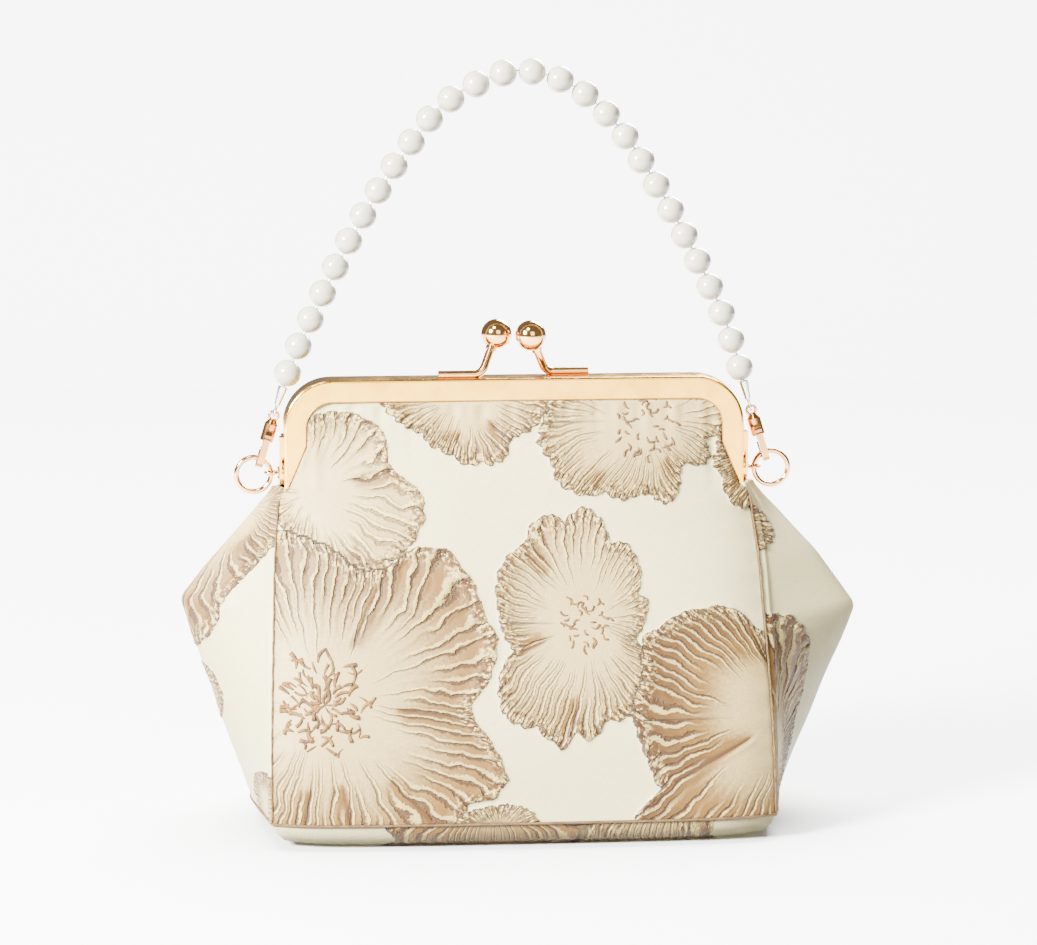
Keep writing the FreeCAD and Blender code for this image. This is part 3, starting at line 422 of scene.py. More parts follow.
def fold_line(z, hand):
    """Return how far out a gusset's fold stands: nearly straight runs with a tight turn at the tip."""
    widths = FOLD_LEVELS[:, 1 if hand < 0 else 2]
    near = [np.interp(z + step, FOLD_LEVELS[:, 0], widths) for step in (-1.8, -0.6, 0.6, 1.8)]
    return sum(near) / len(near)


def gusset_surface(along, z, hand, inset=0.0, raised=None):
    """Return points of a gusset: along is -1 at the front seam, 1 at the back seam."""
    seam_x, seam_depth = seam_line(z)
    bulge = fold_line(z, hand) - seam_x
    x = seam_x + bulge * (1 - folded(along))
    top = smooth_step(84, 112, z)
    pull = 0.55 * np.sin(along * 8.5 + 0.9) * top + 0.5 * wobble(along * 30, z, 16, 1.9)
    x = x + pull * smooth_step(0, 0.25, 1 - np.abs(along))
    from_seam = (1 - np.abs(along)) * np.hypot(bulge, seam_depth)
    x = x + 0.85 * np.exp(-((from_seam - 1.9) / 1.1) ** 2) * (1 - smooth_step(100, 110, z))
    x = x - 1.5 * inset
    y = along * (seam_depth - inset * np.where(seam_depth > 8, 1.0, 0.4))
    if raised is not None:
        lean = bulge / np.hypot(bulge, seam_depth)
        x = x + raised * np.sqrt(1 - lean ** 2 * 0.9)
        y = y + raised * lean * 0.5 * np.sign(along)
    return hand * x, y, z


def ring_line(height, steps=48):
    """Return the bag's closed outline near the base at one height."""
    levels = BASE_LEVELS[:, 0]
    width, seam, middle, fold = (np.interp(height, levels, values) for values in BASE_LEVELS[:, 1:].T)
    width = width - SEAM_INSET
    across = np.linspace(-1, 1, steps + 1)[:-1]
    from_seam = (1 - np.abs(across)) * width
    depth = crowned(np.abs(across), seam, middle) - rolled_back(from_seam)
    side_x = width + (fold - width) * (1 - folded(across))
    side_y = across * (seam - SEAM_ROLL)
    front = np.stack((across * width, -depth), 1)
    right = np.stack((side_x, side_y), 1)
    return np.concatenate((front, right, -front, -right))


# ---- mesh makers

UPWARDS = np.array((0.0, 0.0, 1.0))


def put_in_scene(name, data):
    """Make an object of a mesh, light or camera, and put it in the scene."""
    thing = bpy.data.objects.new(name, data)
    bpy.context.scene.collection.objects.link(thing)
    return thing


def add_mesh(name, points, faces, material):
    """Make a smooth-shaded mesh from points in millimetres."""
    mesh = bpy.data.meshes.new(name)
    mesh.from_pydata((np.asarray(points, float) * MM).tolist(), [], faces)
    mesh.update()
    mesh.materials.append(material)
    mesh.polygons.foreach_set("use_smooth", [True] * len(mesh.polygons))
    return put_in_scene(name, mesh)


def grid_faces(rows, columns, start=0, flip=False, closed=False):
    """Return the quads of a grid of points, row by row."""
    faces = []
    for row in range(rows - 1):
        for column in range(columns if closed else columns - 1):
            following = (column + 1) % columns
            corners = ((row, column), (row, following), (row + 1, following), (row + 1, column))
            quad = tuple(start + line * columns + place for line, place in corners)
            faces.append(quad[::-1] if flip else quad)
    return faces


def cloth_mesh(name, outer, inner, material, flip=False, closed=False):
    """Make one closed piece of cloth from its outer and inner grids of points."""
    rows, columns = outer.shape[:2]
    count = rows * columns
    points = np.concatenate((outer.reshape(-1, 3), inner.reshape(-1, 3)))
    faces = grid_faces(rows, columns, 0, flip, closed)
    faces += grid_faces(rows, columns, count, not flip, closed)
    edges = []
    for column in range(columns if closed else columns - 1):
        following = (column + 1) % columns
        edges.append((following, column))
        edges.append(((rows - 1) * columns + column, (rows - 1) * columns + following))
    if not closed:
        for row in range(rows - 1):
            edges.append((row * columns, (row + 1) * columns))
            edges.append(((row + 2) * columns - 1, (row + 1) * columns - 1))
    for first, second in edges:
        quad = (first, second, second + count, first + count)
        faces.append(quad[::-1] if flip else quad)
    return add_mesh(name, points, faces, material)


def write_pattern(thing, fields):
    """Store the woven pattern on a cloth mesh; its inner face gets the plain ground."""
    for name, values in zip(PATTERN_FIELDS, fields):
        flat = values.reshape(-1)
        plain = np.full(len(flat), OUTSIDE if name == "petal_edge" else 0.0)
        both = np.concatenate((flat, plain)).astype(np.float32)
        attribute = thing.data.attributes.new(name, "FLOAT", "POINT")
        attribute.data.foreach_set("value", both)


def write_cloth_map(thing, a, b):
    """Store where each point lies on the flat cloth, in centimetres."""
    flat = np.stack((a.reshape(-1), b.reshape(-1), np.zeros(a.size)), 1) / 10
    both = np.concatenate((flat, flat)).astype(np.float32)
    attribute = thing.data.attributes.new("cloth", "FLOAT_VECTOR", "POINT")
    attribute.data.foreach_set("vector", both.reshape(-1))


def brocade_piece(name, outer, inner, a, b, fields, material, flip, closed=False):
    """Make one piece of brocade that knows its woven pattern."""
    thing = cloth_mesh(name, outer, inner, material, flip, closed)
    write_pattern(thing, fields)
    write_cloth_map(thing, a, b)
    return thing


def stack(points):
    """Return separate X, Y and Z grids as one grid of points."""
    return np.stack(np.broadcast_arrays(*points), -1).astype(float)


def at_level(line, height):
    """Lift an outline's points (X, Y) to one height."""
    return np.column_stack((line, np.full(len(line), height)))


def tube_points(path, forward, radii, reference, sides):
    """Return the rings of points of a tube along a path."""
    forward = forward / np.linalg.norm(forward, axis=1)[:, None]
    points = []
    for centre, heading, size in zip(path, forward, radii):
        side = np.cross(heading, reference)
        side /= np.linalg.norm(side)
        reference = np.cross(side, heading)
        for step in range(sides):
            angle = 2 * math.pi * step / sides
            points.append(centre + size * (math.cos(angle) * side + math.sin(angle) * reference))
    return points


def tube(name, path, radius, material, sides=8):
    """Make a round tube with closed ends along points; radius may vary along it."""
    path = np.asarray(path, float)
    forward = np.gradient(path, axis=0)
    steep = abs(forward[0][2]) >= 0.8 * np.linalg.norm(forward[0])
    reference = np.array((0.0, 1.0, 0.0)) if steep else UPWARDS
    points = tube_points(path, forward, np.broadcast_to(radius, (len(path),)), reference, sides)
    faces = grid_faces(len(path), sides, 0, True, closed=True)
    faces.append(tuple(range(sides)))
    faces.append(tuple(reversed(range((len(path) - 1) * sides, len(path) * sides))))
    return add_mesh(name, points, faces, material)


def loop_tube(name, path, radius, material, sides=8):
    """Make a closed ring of tube along a level path of points."""
    forward = np.roll(path, -1, 0) - np.roll(path, 1, 0)
    points = tube_points(path, forward, [radius] * len(path), UPWARDS, sides)
    faces = grid_faces(len(path), sides, 0, True, closed=True)
    last = (len(path) - 1) * sides
    for step in range(sides):
        following = (step + 1) % sides
        faces.append((step, following, last + following, last + step))
    return add_mesh(name, points, faces, material)


def join(name, pieces):
    """Join meshes into one object with the first one's material."""
    bpy.ops.object.select_all(action="DESELECT")
    for piece in pieces:
        piece.select_set(True)
    bpy.context.view_layer.objects.active = pieces[0]
    bpy.ops.object.join()
    pieces[0].name = name
    pieces[0].data.name = name
    return pieces[0]


# ---- materials

class Paint:
    """A material under construction."""

    def __init__(self, name):
        self.material = bpy.data.materials.new(name)
        self.material.use_nodes = True
        self.tree = self.material.node_tree
        self.tree.nodes.clear()
        output = self.node("ShaderNodeOutputMaterial")
        self.shader = self.node("ShaderNodeBsdfPrincipled")
        self.link(self.shader.outputs[0], output.inputs[0])

    def node(self, kind, **settings):
        made = self.tree.nodes.new(kind)
        for key, value in settings.items():
            setattr(made, key, value)
        return made

    def link(self, source, target):
        self.tree.links.new(source, target)

    def put(self, target, value):
        """Set a socket to a number, a colour or another node's output."""
        if isinstance(value, bpy.types.NodeSocket):
            self.link(value, target)
        elif isinstance(value, (tuple, list)) and len(value) == 3 and target.type == "RGBA":
            target.default_value = (*value, 1.0)
        else:
            target.default_value = value

    def feed(self, made, **values):
        """Set a node's inputs by name."""
        for key, value in values.items():
            self.put(made.inputs[key.replace("_", " ")], value)

    def set(self, **values):
        self.feed(self.shader, **values)

    def maths(self, operation, *values):
        made = self.node("ShaderNodeMath", operation=operation)
        for socket, value in zip(made.inputs, values):
            self.put(socket, value)
        return made.outputs[0]

    def plus(self, first, second):
        return self.maths("ADD", first, second)

    def minus(self, first, second):
        return self.maths("SUBTRACT", first, second)

    def times(self, first, second):
        return self.maths("MULTIPLY", first, second)

    def stirred(self, value, noise, amount):
        """Return a value moved up and down by a noise."""
        return self.maths("MULTIPLY_ADD", self.minus(noise, 0.5), amount, value)

    def band(self, value, middle, outer, inner):
        """Return 1 within the inner distance of a middle value and 0 beyond the outer one."""
        return self.ramp(self.maths("ABSOLUTE", self.minus(value, middle)), outer, inner)

    def ramp(self, value, low, high, to_low=0.0, to_high=1.0):
        made = self.node("ShaderNodeMapRange", interpolation_type="SMOOTHSTEP")
        for socket, number in zip(made.inputs, (value, low, high, to_low, to_high)):
            self.put(socket, number)
        return made.outputs[0]

    def mix(self, share, first, second, blend="MIX"):
        made = self.node("ShaderNodeMix", data_type="RGBA", blend_type=blend)
        self.put(made.inputs[0], share)
        self.put(made.inputs[6], first)
        self.put(made.inputs[7], second)
        return made.outputs[2]

    def attribute(self, name, vector=False):
        made = self.node("ShaderNodeAttribute", attribute_name=name)
        return made.outputs["Vector" if vector else "Fac"]

    def stretched(self, vector, scale, turn=0.0):
        made = self.node("ShaderNodeMapping")
        self.feed(made, Vector=vector, Scale=scale, Rotation=(0, 0, turn))
        return made.outputs[0]

    def place(self):
        return self.node("ShaderNodeTexCoord").outputs["Object"]

    def noise(self, vector, scale, detail=3.0, roughness=0.5):
        made = self.node("ShaderNodeTexNoise")
        self.feed(made, Vector=vector, Scale=scale, Detail=detail, Roughness=roughness)
        return made.outputs["Fac"]

    def wave(self, vector, scale, distortion=0.0, direction="X"):
        made = self.node("ShaderNodeTexWave", bands_direction=direction)
        self.feed(made, Vector=vector, Scale=scale, Distortion=distortion, Detail=2.0)
        return made.outputs["Fac"]

    def bump(self, height, distance, strength=1.0, after=None):
        made = self.node("ShaderNodeBump")
        self.feed(made, Height=height, Distance=distance, Strength=strength)
        if after is not None:
            self.link(after, made.inputs["Normal"])
        return made.outputs[0]


IVORY = (0.84, 0.755, 0.395)
IVORY_SHADE = (0.75, 0.65, 0.325)
PETAL_PALE = (0.62, 0.452, 0.185)
PETAL_TAN = (0.215, 0.110, 0.022)
PETAL_DEEP = (0.115, 0.050, 0.009)
PETAL_BROWN = (0.068, 0.028, 0.006)
PETAL_LIGHT = (0.88, 0.68, 0.25)


def brocade_paint():
    """Ivory satin with woven flowers, whose edges and lines come from the cloth itself; the petal creases
    carry painted shade and the cream lines a painted highlight.
    """
    paint = Paint("brocade")
    cloth = paint.attribute("cloth", vector=True)
    edge, tone, fan, grown, turns = (paint.attribute(name) for name in PATTERN_FIELDS)
    coarse = paint.noise(cloth, 1.1, 1.0, 0.5)
    knots = paint.noise(cloth, 8.5, 2.0, 0.6)
    speckle = paint.noise(cloth, 24.0, 2.0, 0.65)
    along_rim = paint.node("ShaderNodeCombineXYZ")
    paint.feed(along_rim, X=paint.times(turns, 4.2), Y=paint.times(edge, 0.40))
    stitches = paint.noise(along_rim.outputs[0], 1.0, 2.0, 0.55)
    tuft = paint.maths("MULTIPLY_ADD", paint.minus(stitches, knots), 0.6, knots)
    petal = paint.ramp(paint.stirred(edge, knots, 1.3), -0.10, 0.20)
    streaks = paint.noise(paint.stretched(cloth, (60.0, 5.0, 1.0)), 1.0, 3.0, 0.6)
    cross = paint.noise(paint.stretched(cloth, (4.0, 44.0, 1.0)), 1.0, 2.0, 0.6)
    threads = paint.plus(paint.times(streaks, 0.6), paint.times(cross, 0.4))
    ground = paint.mix(paint.ramp(threads, 0.40, 0.62), IVORY_SHADE, IVORY)
    warped = paint.stirred(paint.stirred(turns, coarse, 1.6), knots, 0.35)
    within = paint.maths("FRACT", warped)
    chance = paint.node("ShaderNodeTexWhiteNoise", noise_dimensions="1D")
    paint.feed(chance, W=paint.maths("FLOOR", warped))
    start = paint.times(chance.outputs["Value"], 0.55)
    reached = paint.ramp(paint.minus(grown, start), -0.05, 0.20)
    dark_line = paint.band(within, 0.42, 0.17, 0.04)
    cream_highlight_line = paint.band(within, 0.68, 0.20, 0.09)
    # Tone holds the gold's depth and also the painted crease shadow, so the tan and deep colours paint
    # that shade too.
    tan_and_shadow = paint.stirred(tone, knots, 0.45)
    body = paint.mix(paint.ramp(tan_and_shadow, 0.05, 0.90), PETAL_PALE, PETAL_TAN)
    body = paint.mix(paint.ramp(tan_and_shadow, 0.95, 1.60), body, PETAL_DEEP)
    # Cream lines on the raised ridges of the woven relief: cream thread, painted lighter as a highlight on
    # those ridges.
    light = paint.times(paint.times(cream_highlight_line, reached), 0.55)
    body = paint.mix(light, body, PETAL_LIGHT)
    dark = paint.times(paint.times(dark_line, reached), paint.ramp(tone, 0.05, 0.9, 0.45, 0.95))
    body = paint.mix(dark, body, PETAL_BROWN)
    # Brown in the deepest grooves of the fan relief, and painted shade along the creases between petals.
    body = paint.mix(paint.ramp(fan, -0.75, -1.25, 0.0, 0.7), body, PETAL_BROWN)
    near_rim = paint.ramp(edge, 6.0, 2.0)
    brown_tufts = paint.times(near_rim, paint.ramp(tuft, 0.50, 0.56))
    body = paint.mix(paint.times(brown_tufts, 0.85), body, PETAL_BROWN)
    light_tufts = paint.times(near_rim, paint.ramp(tuft, 0.48, 0.42))
    body = paint.mix(paint.times(light_tufts, 0.80), body, PETAL_LIGHT)
    flecked = paint.mix(1.0, body, paint.ramp(speckle, 0.36, 0.64, 0.88, 1.10), "MULTIPLY")
    colour = paint.mix(petal, ground, flecked)
    warp = paint.wave(cloth, 9.0, 0.6, "X")
    weft = paint.wave(cloth, 8.0, 0.6, "Y")
    weave = paint.bump(paint.plus(warp, weft), 0.00004, 0.35)
    fine = paint.bump(threads, 0.00012, 0.5, weave)
    lines = paint.times(paint.minus(cream_highlight_line, dark_line), reached)
    tufts = paint.times(tuft, paint.ramp(edge, 7.0, 2.5, 0.15, 1.6))
    raised = paint.plus(paint.times(lines, 0.8), tufts)
    grain = paint.bump(paint.times(raised, petal), 0.00055, 1.0, fine)
    paint.set(Base_Color=colour, Normal=grain)
    paint.set(Roughness=paint.maths("MULTIPLY_ADD", petal, -0.06, 0.52))
    paint.set(Specular_IOR_Level=0.35)
    paint.set(Sheen_Weight=0.15, Sheen_Roughness=0.4)
    return paint.material


def trim_paint(name, colour, darker):
    """Plain twisted trim: piping and stitched thread."""
    paint = Paint(name)
    place = paint.place()
    twist = paint.wave(paint.stretched(place, (900, 900, 900), 0.6), 1.0, 1.5)
    worn = paint.noise(place, 420.0, 3.0, 0.6)
    paint.set(Base_Color=paint.mix(paint.ramp(worn, 0.35, 0.65), colour, darker))
    paint.set(Normal=paint.bump(twist, 0.00012, 0.7), Roughness=0.55, Sheen_Weight=0.05)
    return paint.material


def lining_paint():
    """Champagne satin lining."""
    paint = Paint("lining_satin")
    place = paint.place()
    soft = paint.noise(place, 38.0, 3.0, 0.5)
    fine = paint.noise(paint.stretched(place, (2600, 2600, 260)), 1.0, 2.0, 0.5)
    paint.set(Base_Color=paint.mix(paint.ramp(soft, 0.3, 0.7), (0.46, 0.34, 0.19), (0.54, 0.41, 0.25)))
    paint.set(Normal=paint.bump(fine, 0.00008, 0.5), Roughness=0.38, Sheen_Weight=0.3)
    return paint.material


def metal_paint(name, colour, tarnish, roughness, brushed=False):
    """Polished plate with faint wear, pooled tarnish and fine scratches."""
    paint = Paint(name)
    place = paint.place()
    cloudy = paint.noise(place, 130.0, 4.0, 0.6)
    scale = (5200, 240, 240) if brushed else (1500, 1500, 1500)
    fine = paint.noise(paint.stretched(place, scale), 1.0, 2.0, 0.5)
    paint.set(Base_Color=paint.mix(paint.ramp(cloudy, 0.42, 0.74), colour, tarnish))
    paint.set(Roughness=paint.ramp(cloudy, 0.30, 0.72, roughness * 0.75, roughness * 1.35))
    paint.set(Normal=paint.bump(fine, 0.000012, 0.25), Metallic=1.0)
    return paint.material


def pearl_paint():
    """Pearl lacquer over a white bead: soft depth, a clear coat and a faint rose and green lustre."""
    paint = Paint("pearl")
    place = paint.place()
    cloud = paint.noise(place, 170.0, 3.0, 0.5)
    body = paint.mix(paint.ramp(cloud, 0.35, 0.65), (0.64, 0.62, 0.45), (0.70, 0.64, 0.50))
    fine = paint.noise(place, 900.0, 2.0, 0.5)
    paint.set(Base_Color=body, Roughness=0.30, Normal=paint.bump(fine, 0.00003, 0.3))
    paint.set(Coat_Weight=0.8, Coat_Roughness=0.10, Sheen_Weight=0.2)
    paint.set(Subsurface_Weight=0.15, Subsurface_Scale=0.002)
    return paint.material


def board_paint():
    """Pressed grey-brown board."""
    paint = Paint("base_board")
    place = paint.place()
    fibre = paint.noise(place, 600.0, 4.0, 0.7)
    paint.set(Base_Color=paint.mix(fibre, (0.40, 0.33, 0.24), (0.52, 0.44, 0.33)))
    paint.set(Normal=paint.bump(fibre, 0.0001, 0.6), Roughness=0.85)
    return paint.material


def plain_paint(name, colour, roughness):
    paint = Paint(name)
    paint.set(Base_Color=colour, Roughness=roughness)
    return paint.material


# ---- the brocade

def settle(thing, body="bag"):
    """Fix a piece to a body."""
    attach(thing, body)


def bend_at_mouth(thing):
    """Bake a piece's placement into its mesh."""
    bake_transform(thing)


def make_panel(side_name, side, flowers, material):
    """Make the front or back cloth in one piece, from the bottom seam up into the frame."""
    columns, rows = 222, 214
    even = np.linspace(-1, 1, columns)
    across = np.sin(even * math.pi / 2) * 0.25 + even * 0.75
    u, z = np.meshgrid(across, np.linspace(SEAM_HEIGHT, 147.6, rows))
    a = u * seam_line(z)[0]
    fields = pattern(flowers, a, z)
    off_seams = smooth_step(0, 1.2, (1 - np.abs(u)) * 80) * smooth_step(0, 1.2, z - SEAM_HEIGHT)
    raised = relief(fields[0], fields[2], a, z) * off_seams
    outer = stack(panel_surface(u, z, side, 0.0, raised))
    inner = stack(panel_surface(u, z, side, CLOTH))
    thing = brocade_piece(side_name + "_cloth", outer, inner, a, z, fields, material, flip=side > 0)
    bend_at_mouth(thing)
    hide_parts(side_name + "_panel", side_name + "_panel_top")


def make_gusset(hand_name, hand, flowers, material):
    """Make one side gusset, folded outwards."""
    columns, rows = 150, 170
    t, z = np.meshgrid(np.linspace(-1, 1, columns), np.linspace(SEAM_HEIGHT, 114.0, rows))
    seam_x, seam_depth = seam_line(z)
    slant = np.hypot(seam_depth, smooth_read(FOLD_LEVELS, 1, z) - seam_x)
    a = -t * slant
    fields = pattern(flowers, a, z)
    off_seams = smooth_step(0, 0.05, 1 - np.abs(t)) * smooth_step(0, 1.2, z - SEAM_HEIGHT)
    raised = relief(fields[0], fields[2], a, z) * off_seams * (1 - smooth_step(108, 113, z))
    outer = stack(gusset_surface(t, z, hand, 0.0, raised))
    inner = stack(gusset_surface(t, z, hand, CLOTH))
    name = hand_name + "_gusset"
    thing = brocade_piece(name + "_cloth", outer, inner, a, z, fields, material, flip=hand < 0)
    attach(thing, "bag")
    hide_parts(name)


def make_bottom(material):
    """Make the bottom: the turned-up edge below the seam and the flat underside."""
    heights = (8.5, 7.0, 5.2, 3.7, 2.4, 1.4, 0.7, 0.25, 0.0)
    shrink = (0.97, 0.93, 0.86, 0.76, 0.62, 0.45, 0.25, 0.05)
    edge = [at_level(ring_line(height), height) for height in heights]
    underside = [edge[-1] * (share, share, 1) for share in shrink]
    outer = np.array(edge + underside)
    inner = outer * (0.985, 0.975, 1) + (0, 0, CLOTH)
    a = outer[:, :, 0]
    b = outer[:, :, 1] - np.sign(outer[:, :, 1]) * outer[:, :, 2]
    fields = pattern(bottom_flowers(), a, b)
    thing = brocade_piece("bottom_cloth", outer, inner, a, b, fields, material, flip=True, closed=True)
    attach(thing, "bag")
    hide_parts("bottom_panel")


def seam_piping(material):
    """Make the cord along each side seam and round the bottom seam."""
    heights = np.linspace(9.2, 110.5, 120)
    seam_x, seam_depth = seam_line(heights)
    out = 0.25 + 0.06 * np.sin(heights * 0.9)
    radius = 0.26 * smooth_step(0, 1.5, 110.8 - heights) + 0.08
    for side_name, side in SIDES:
        for hand_name, hand in HANDS:
            path = np.stack((hand * (seam_x + out), side * (seam_depth + 0.1), heights), 1)
            settle(tube("%s_%s_piping" % (side_name, hand_name), path, radius, material))
    line = ring_line(SEAM_HEIGHT, 64)
    centre = line * (1.0 + 0.25 / np.linalg.norm(line, axis=1))[:, None]
    path = at_level(centre, SEAM_HEIGHT - 0.1)
    settle(loop_tube("bottom_piping", path, 0.48, material))


def stroke(surface, start, end, width, bulb, bend):
    """Return one raised thread lying on a surface, as a tapered path and its radii."""
    share = np.linspace(0, 1, 7)
    direction = end - start
    normal = np.array((-direction[1], direction[0]))
    flat = np.outer(1 - share, start) + np.outer(share, end)
    flat = flat + np.outer(np.sin(share * math.pi) * bend, normal)
    radii = width * (0.45 + 0.55 * np.sin(share * math.pi * 0.9) + bulb * share ** 4)
    return stack(surface(flat[:, 0], flat[:, 1])), radii


def ray(degrees):
    turn = math.radians(degrees)
    return np.array((math.cos(turn), math.sin(turn)))


def embroidery(name, surface, centre, strokes, material):
    """Make a flower's stamens: short raised threads round its centre, kept off the side seams."""
    pieces = []
    for index, (angle, near, far, width, bulb, bend) in enumerate(strokes):
        start = centre + ray(angle) * near
        end = start + ray(angle + STROKE_TWIST * math.sin(index * 5.1)) * (far - near)
        if max(abs(start[0]), abs(end[0])) <= STITCH_LIMIT:
            path, radii = stroke(surface, start, end, width, bulb, bend)
            pieces.append(tube("%s_%02d" % (name, index), path, radii, material, 6))
    whole = join(name, pieces)
    return whole


def panel_place(side, lift):
    """Return the function that puts a flat place (x, height) on a panel's surface."""
    def place(x, z):
        width = seam_line(z)[0]
        return x, side * (panel_depth(x, z, width) + lift), z
    return place


def big_stamens():
    """Return the strokes at the heart of the big flower: a dense knot and loose outer dashes."""
    count = 96
    strokes = []
    for index in range(count):
        angle = index * 137.5 + 16 * math.sin(index * 2.4)
        near = 15.0 * (index / count) ** 0.9 + 1.5 * math.sin(index * 1.7)
        far = near + 2.6 + 2.6 * abs(math.sin(index * 1.13 + 0.4))
        width = 0.36 + 0.30 * abs(math.sin(index * 1.9))
        bulb = 0.8 if index % 2 == 0 else 0.1
        bend = 0.22 * math.sin(index * 2.9)
        strokes.append((angle, max(near, 0), far, width, bulb, bend))
    return strokes


def small_stamens(count, near, spread, width):
    """Return the strokes at the heart of a smaller flower."""
    strokes = []
    for index in range(count):
        angle = index * 360 / count + 14 * math.sin(index * 1.9)
        start = near + spread * abs(math.sin(index * 2.3))
        end = start + 1.9 + 1.2 * math.sin(index * 1.1) ** 2
        strokes.append((angle, start, end, width, 0.3, 0.35 * math.sin(index * 3.3)))
    return strokes


def make_stamens(thread, pale_thread):
    """Make the stamens at three flower hearts on the front and one on the back."""
    front = panel_place(-1, 0.30)
    back = panel_place(1, 0.30)
    middle = small_stamens(34, 1.6, 5.6, 0.40)
    upper = small_stamens(40, 2.4, 7.0, 0.46)
    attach(embroidery("big_stamens", front, BIG_HEART, big_stamens(), thread), "bag")
    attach(embroidery("middle_stamens", front, MIDDLE_HEART, middle, thread), "bag")
    bend_at_mouth(embroidery("upper_stamens", front, (43.5, 133.6), upper, pale_thread))
    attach(embroidery("back_stamens", back, BACK_HEART, big_stamens(), thread), "bag")


# ---- the inside

def make_lining(material):
    """Make the lining: front, back, two sides and floor, sewn as one inner bag."""
    inset, cloth = 1.9, 0.5
    u, z = np.meshgrid(np.linspace(-1, 1, 90), np.linspace(3.6, 146.5, 90))
    height = np.maximum(z, SEAM_HEIGHT)
    low = height - z
    crease = 0.22 * wobble(u * 80, z, 11, 2.2) * smooth_step(0, 30, 140 - z)
    for side_name, side in SIDES:
        grids = [stack(panel_surface(u, height, side, depth, crease)) for depth in (inset, inset + cloth)]
        for grid in grids:
            grid[:, :, 2] = z
            grid[:, :, 1] -= side * low * 0.9
            grid[:, :, 0] *= 1 - low * 0.012
        thing = cloth_mesh(side_name + "_lining", *grids, material, flip=side > 0)
        bend_at_mouth(thing)
        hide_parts("lining")
    t, z = np.meshgrid(np.linspace(-1, 1, 60), np.linspace(6.0, 108.2, 80))
    height = np.maximum(z, SEAM_HEIGHT)
    for hand_name, hand in HANDS:
        grids = [stack(gusset_surface(t, height, hand, depth)) for depth in (inset, inset + cloth)]
        for grid in grids:
            grid[:, :, 2] = z
        settle(cloth_mesh(hand_name + "_lining", *grids, material, flip=hand < 0))
    base = ring_line(2.4)
    shares = np.array((0.985, 0.95, 0.85, 0.7, 0.5, 0.3, 0.1))
    levels = 3.1 + 0.9 * smooth_step(0.9, 1.0, shares)
    floor = np.array([at_level(base * share, level) for share, level in zip(shares, levels)])
    settle(cloth_mesh("floor_lining", floor, floor + (0, 0, cloth), material, closed=True))


def pocket_gape(u, z):
    """Return how far the slip pocket stands off the lining: most at the middle of its mouth."""
    return 1.1 * smooth_step(60, 80, z) * (1 - (u / POCKET_REACH) ** 2)


def make_pocket(material, thread):
    """Make the slip pocket on the back lining, with its folded hem and stitches."""
    u, z = np.meshgrid(np.linspace(-POCKET_REACH, POCKET_REACH, 60), np.linspace(33, 80.5, 50))
    outer = stack(panel_surface(u, z, 1, 2.65))
    outer[:, :, 1] -= pocket_gape(u, z)
    inner = outer.copy()
    inner[:, :, 1] -= 0.45 + 0.35 * smooth_step(74.5, 75.0, z)
    pocket = cloth_mesh("pocket_cloth", outer, inner, material, flip=True)
    settle(pocket)
    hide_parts("slip_pocket")
    pieces = []
    for index in range(30):
        share = -0.51 + 1.02 * index / 29
        ends = np.array((share - 0.009, share + 0.009))
        level = np.full(2, 73.6)
        x, y, height = panel_surface(ends, level, 1, 3.1)
        path = np.stack((x, y - pocket_gape(ends, level) - 0.12, height), 1)
        pieces.append(tube("stitch_%02d" % index, path, 0.16, thread, 6))
    settle(join("pocket_stitches", pieces))


# ---- hardware and strand

def make_frame_shadow_lines(material):
    """Make a thin dark tube along the inner edge of each frame half, a painted shadow where the cloth goes
    in under the frame.
    """
    turn = np.radians(np.linspace(0, 90, 14))
    corner = (CORNER_X, CORNER_Z) + CORNER_RADIUS * np.column_stack((np.cos(turn), np.sin(turn)))
    leg = ((75.6, 114.4), (72.7, 121.2), (69.8, LEG_BEND), (LEG_INSIDE, 131.0))
    right = np.concatenate((leg, corner))
    outline = np.concatenate((right, right[::-1] * (-1, 1)))
    for side_name, side in SIDES:
        path = np.column_stack((outline[:, 0], np.full(len(outline), side * SHADOW_LINE_DEPTH), outline[:, 1]))
        settle(tube(side_name + "_frame_shadow_tube", path, 0.22, material), side_name + "_half")


def paint_frame(paints):
    """Give every carried-over CAD node its material."""
    slots = {entry["node"]: entry["material_slot"] for entry in frame["record"]["subparts"]}
    for node, thing in frame["nodes"].items():
        thing.data.materials.clear()
        thing.data.materials.append(paints[slots[node]])


def smooth_nodes():
    """Shade round hardware smoothly, keeping its sharp edges."""
    for thing in frame["nodes"].values():
        if not thing.hide_render:
            bpy.ops.object.select_all(action="DESELECT")
            thing.select_set(True)
            bpy.context.view_layer.objects.active = thing
            bpy.ops.object.shade_smooth_by_angle(angle=math.radians(32))


# ---- the studio

def make_stage():
    """Make the pale floor and the curved backdrop, and return the collections that light them apart."""
    ground = plain_paint("studio_floor", (0.93, 0.93, 0.93), 0.9)
    near, back, bend, top, width = -6000.0, 1100.0, 900.0, 4000.0, 6000.0
    curve = [(back, 0.0)]
    for step in range(1, 13):
        angle = step / 12 * math.pi / 2
        curve.append((back + bend * math.sin(angle), bend - bend * math.cos(angle)))
    curve.append((back + bend, top))
    only_stage = bpy.data.collections.new("only_stage")
    not_stage = bpy.data.collections.new("not_stage")
    for name, profile in (("studio_floor", [(near, 0.0), (back, 0.0)]), ("studio_wall", curve)):
        points = [(x, y, z) for y, z in profile for x in (-width, width)]
        part = add_mesh(name, points, grid_faces(len(profile), 2, 0, True), ground)
        part.visible_diffuse = False
        part.visible_glossy = name == "studio_floor"
        only_stage.objects.link(part)
        not_stage.objects.link(part)
    for item in not_stage.collection_objects:
        item.light_linking.link_state = "EXCLUDE"
    return only_stage, not_stage


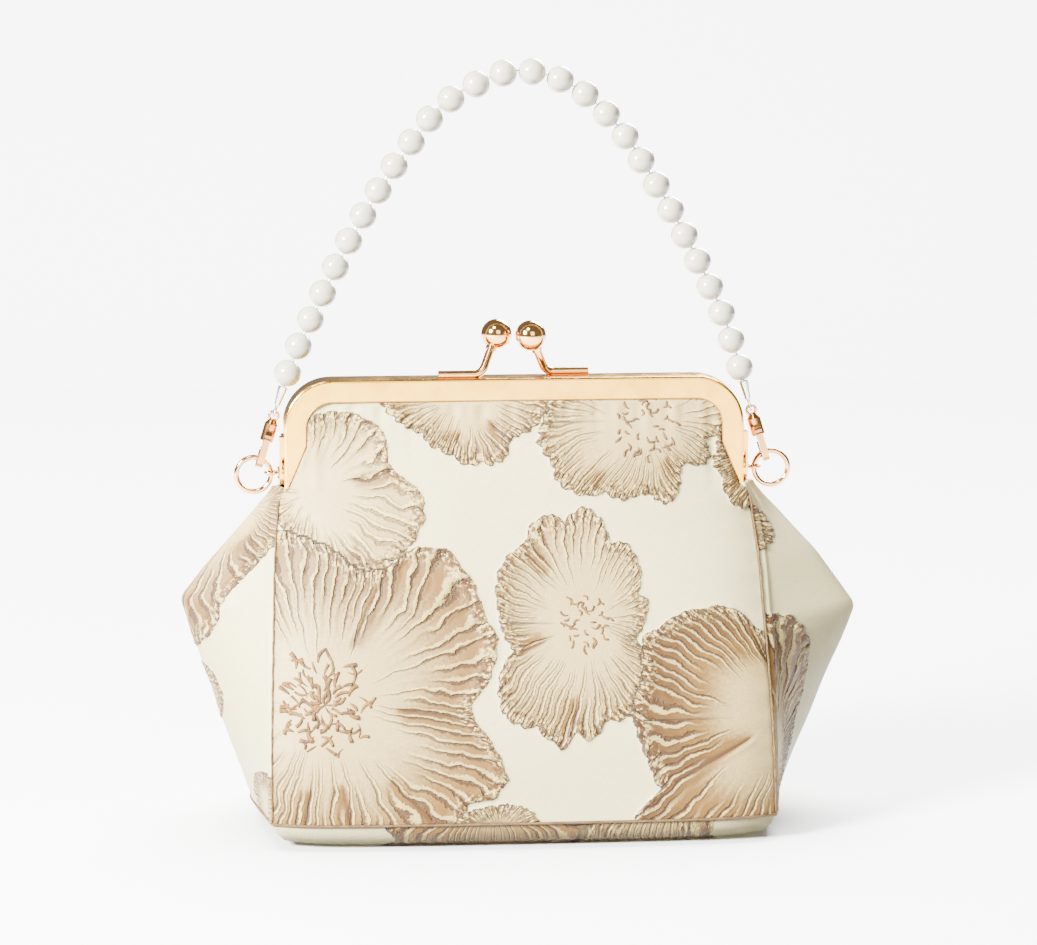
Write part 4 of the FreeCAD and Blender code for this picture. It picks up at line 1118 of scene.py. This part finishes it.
def make_lights(only_stage, not_stage):
    """Make soft square lights: place, width in metres, power, and what they light."""
    lights = (
        ("key", (-1.16, -0.88, 0.84), 0.45, 214.0, None),
        ("fill", (0.3, -1.6, 0.8), 0.8, 12.0, not_stage),
        ("window", (-0.35, -0.55, 1.1), 0.28, 9.0, not_stage),
        ("back", (0.6, 1.25, 0.9), 0.8, 120.0, not_stage),
        ("stage_light", (0.0, 0.9, 2.6), 2.8, 740.0, only_stage),
    )
    for name, place, width, power, lit in lights:
        data = bpy.data.lights.new(name, "AREA")
        data.shape = "SQUARE"
        data.size = width
        data.energy = power
        light = put_in_scene(name, data)
        light.location = place
        aim = Vector((0, 0.3, 0)) if lit is only_stage else Vector((0, 0, 0.1))
        light.rotation_euler = (aim - light.location).to_track_quat("-Z", "Y").to_euler()
        if lit is not None:
            light.light_linking.receiver_collection = lit
    world = bpy.data.worlds.new("studio_air")
    world.use_nodes = True
    air = world.node_tree.nodes["Background"]
    air.inputs["Color"].default_value = (1.0, 1.0, 1.0, 1)
    air.inputs["Strength"].default_value = 0.28
    bpy.context.scene.world = world


def make_camera():
    """Make the camera: a long lens, a little above the bag and to its left."""
    data = bpy.data.cameras.new("camera")
    data.lens = 167.7
    data.sensor_width = 36.0
    camera = put_in_scene("camera", data)
    camera.location = (-0.1450, -1.5934, 0.360)
    camera.rotation_euler = (math.radians(81.379), 0, math.radians(-5.26))
    bpy.context.scene.camera = camera


# ---- put it together

def make_paints():
    """Return the paint of each material slot, by name."""
    return {
        "brocade": brocade_paint(),
        "lining_satin": lining_paint(),
        "frame_gold": metal_paint("frame_gold", (0.96, 0.53, 0.075), (0.92, 0.46, 0.05), 0.18, True),
        "lock_gold": metal_paint("lock_gold", (0.80, 0.44, 0.16), (0.70, 0.34, 0.11), 0.10),
        "hook_gold": metal_paint("hook_gold", (0.62, 0.30, 0.10), (0.50, 0.21, 0.06), 0.18),
        "silver_wire": metal_paint("silver_wire", (0.72, 0.71, 0.70), (0.55, 0.54, 0.53), 0.25),
        "pearl": pearl_paint(),
        "paper_cord": trim_paint("paper_cord", (0.58, 0.46, 0.30), (0.42, 0.32, 0.20)),
        "base_board": board_paint(),
    }


def build():
    """Put the whole bag together on its frame."""
    paints = make_paints()
    brocade = paints["brocade"]
    thread = trim_paint("stamen_thread", (0.30, 0.145, 0.022), (0.09, 0.036, 0.005))
    pale_thread = trim_paint("pale_thread", (0.26, 0.14, 0.05), (0.12, 0.06, 0.02))
    paint_frame(paints)
    # A dark metal tube along each frame half's inner edge: a painted shadow where the cloth meets the
    # frame.
    make_frame_shadow_lines(metal_paint("painted_frame_shadow", (0.46, 0.24, 0.05), (0.30, 0.14, 0.03), 0.30))
    make_lights(*make_stage())
    make_camera()
    make_panel("front", -1, front_flowers(), brocade)
    make_panel("back", 1, back_flowers(), brocade)
    make_gusset("left", -1, left_flowers(), brocade)
    make_gusset("right", 1, right_flowers(), brocade)
    make_bottom(brocade)
    seam_piping(trim_paint("piping", (0.17, 0.090, 0.025), (0.08, 0.038, 0.010)))
    make_stamens(thread, pale_thread)
    make_lining(paints["lining_satin"])
    make_pocket(paints["lining_satin"], pale_thread)
    smooth_nodes()


build()
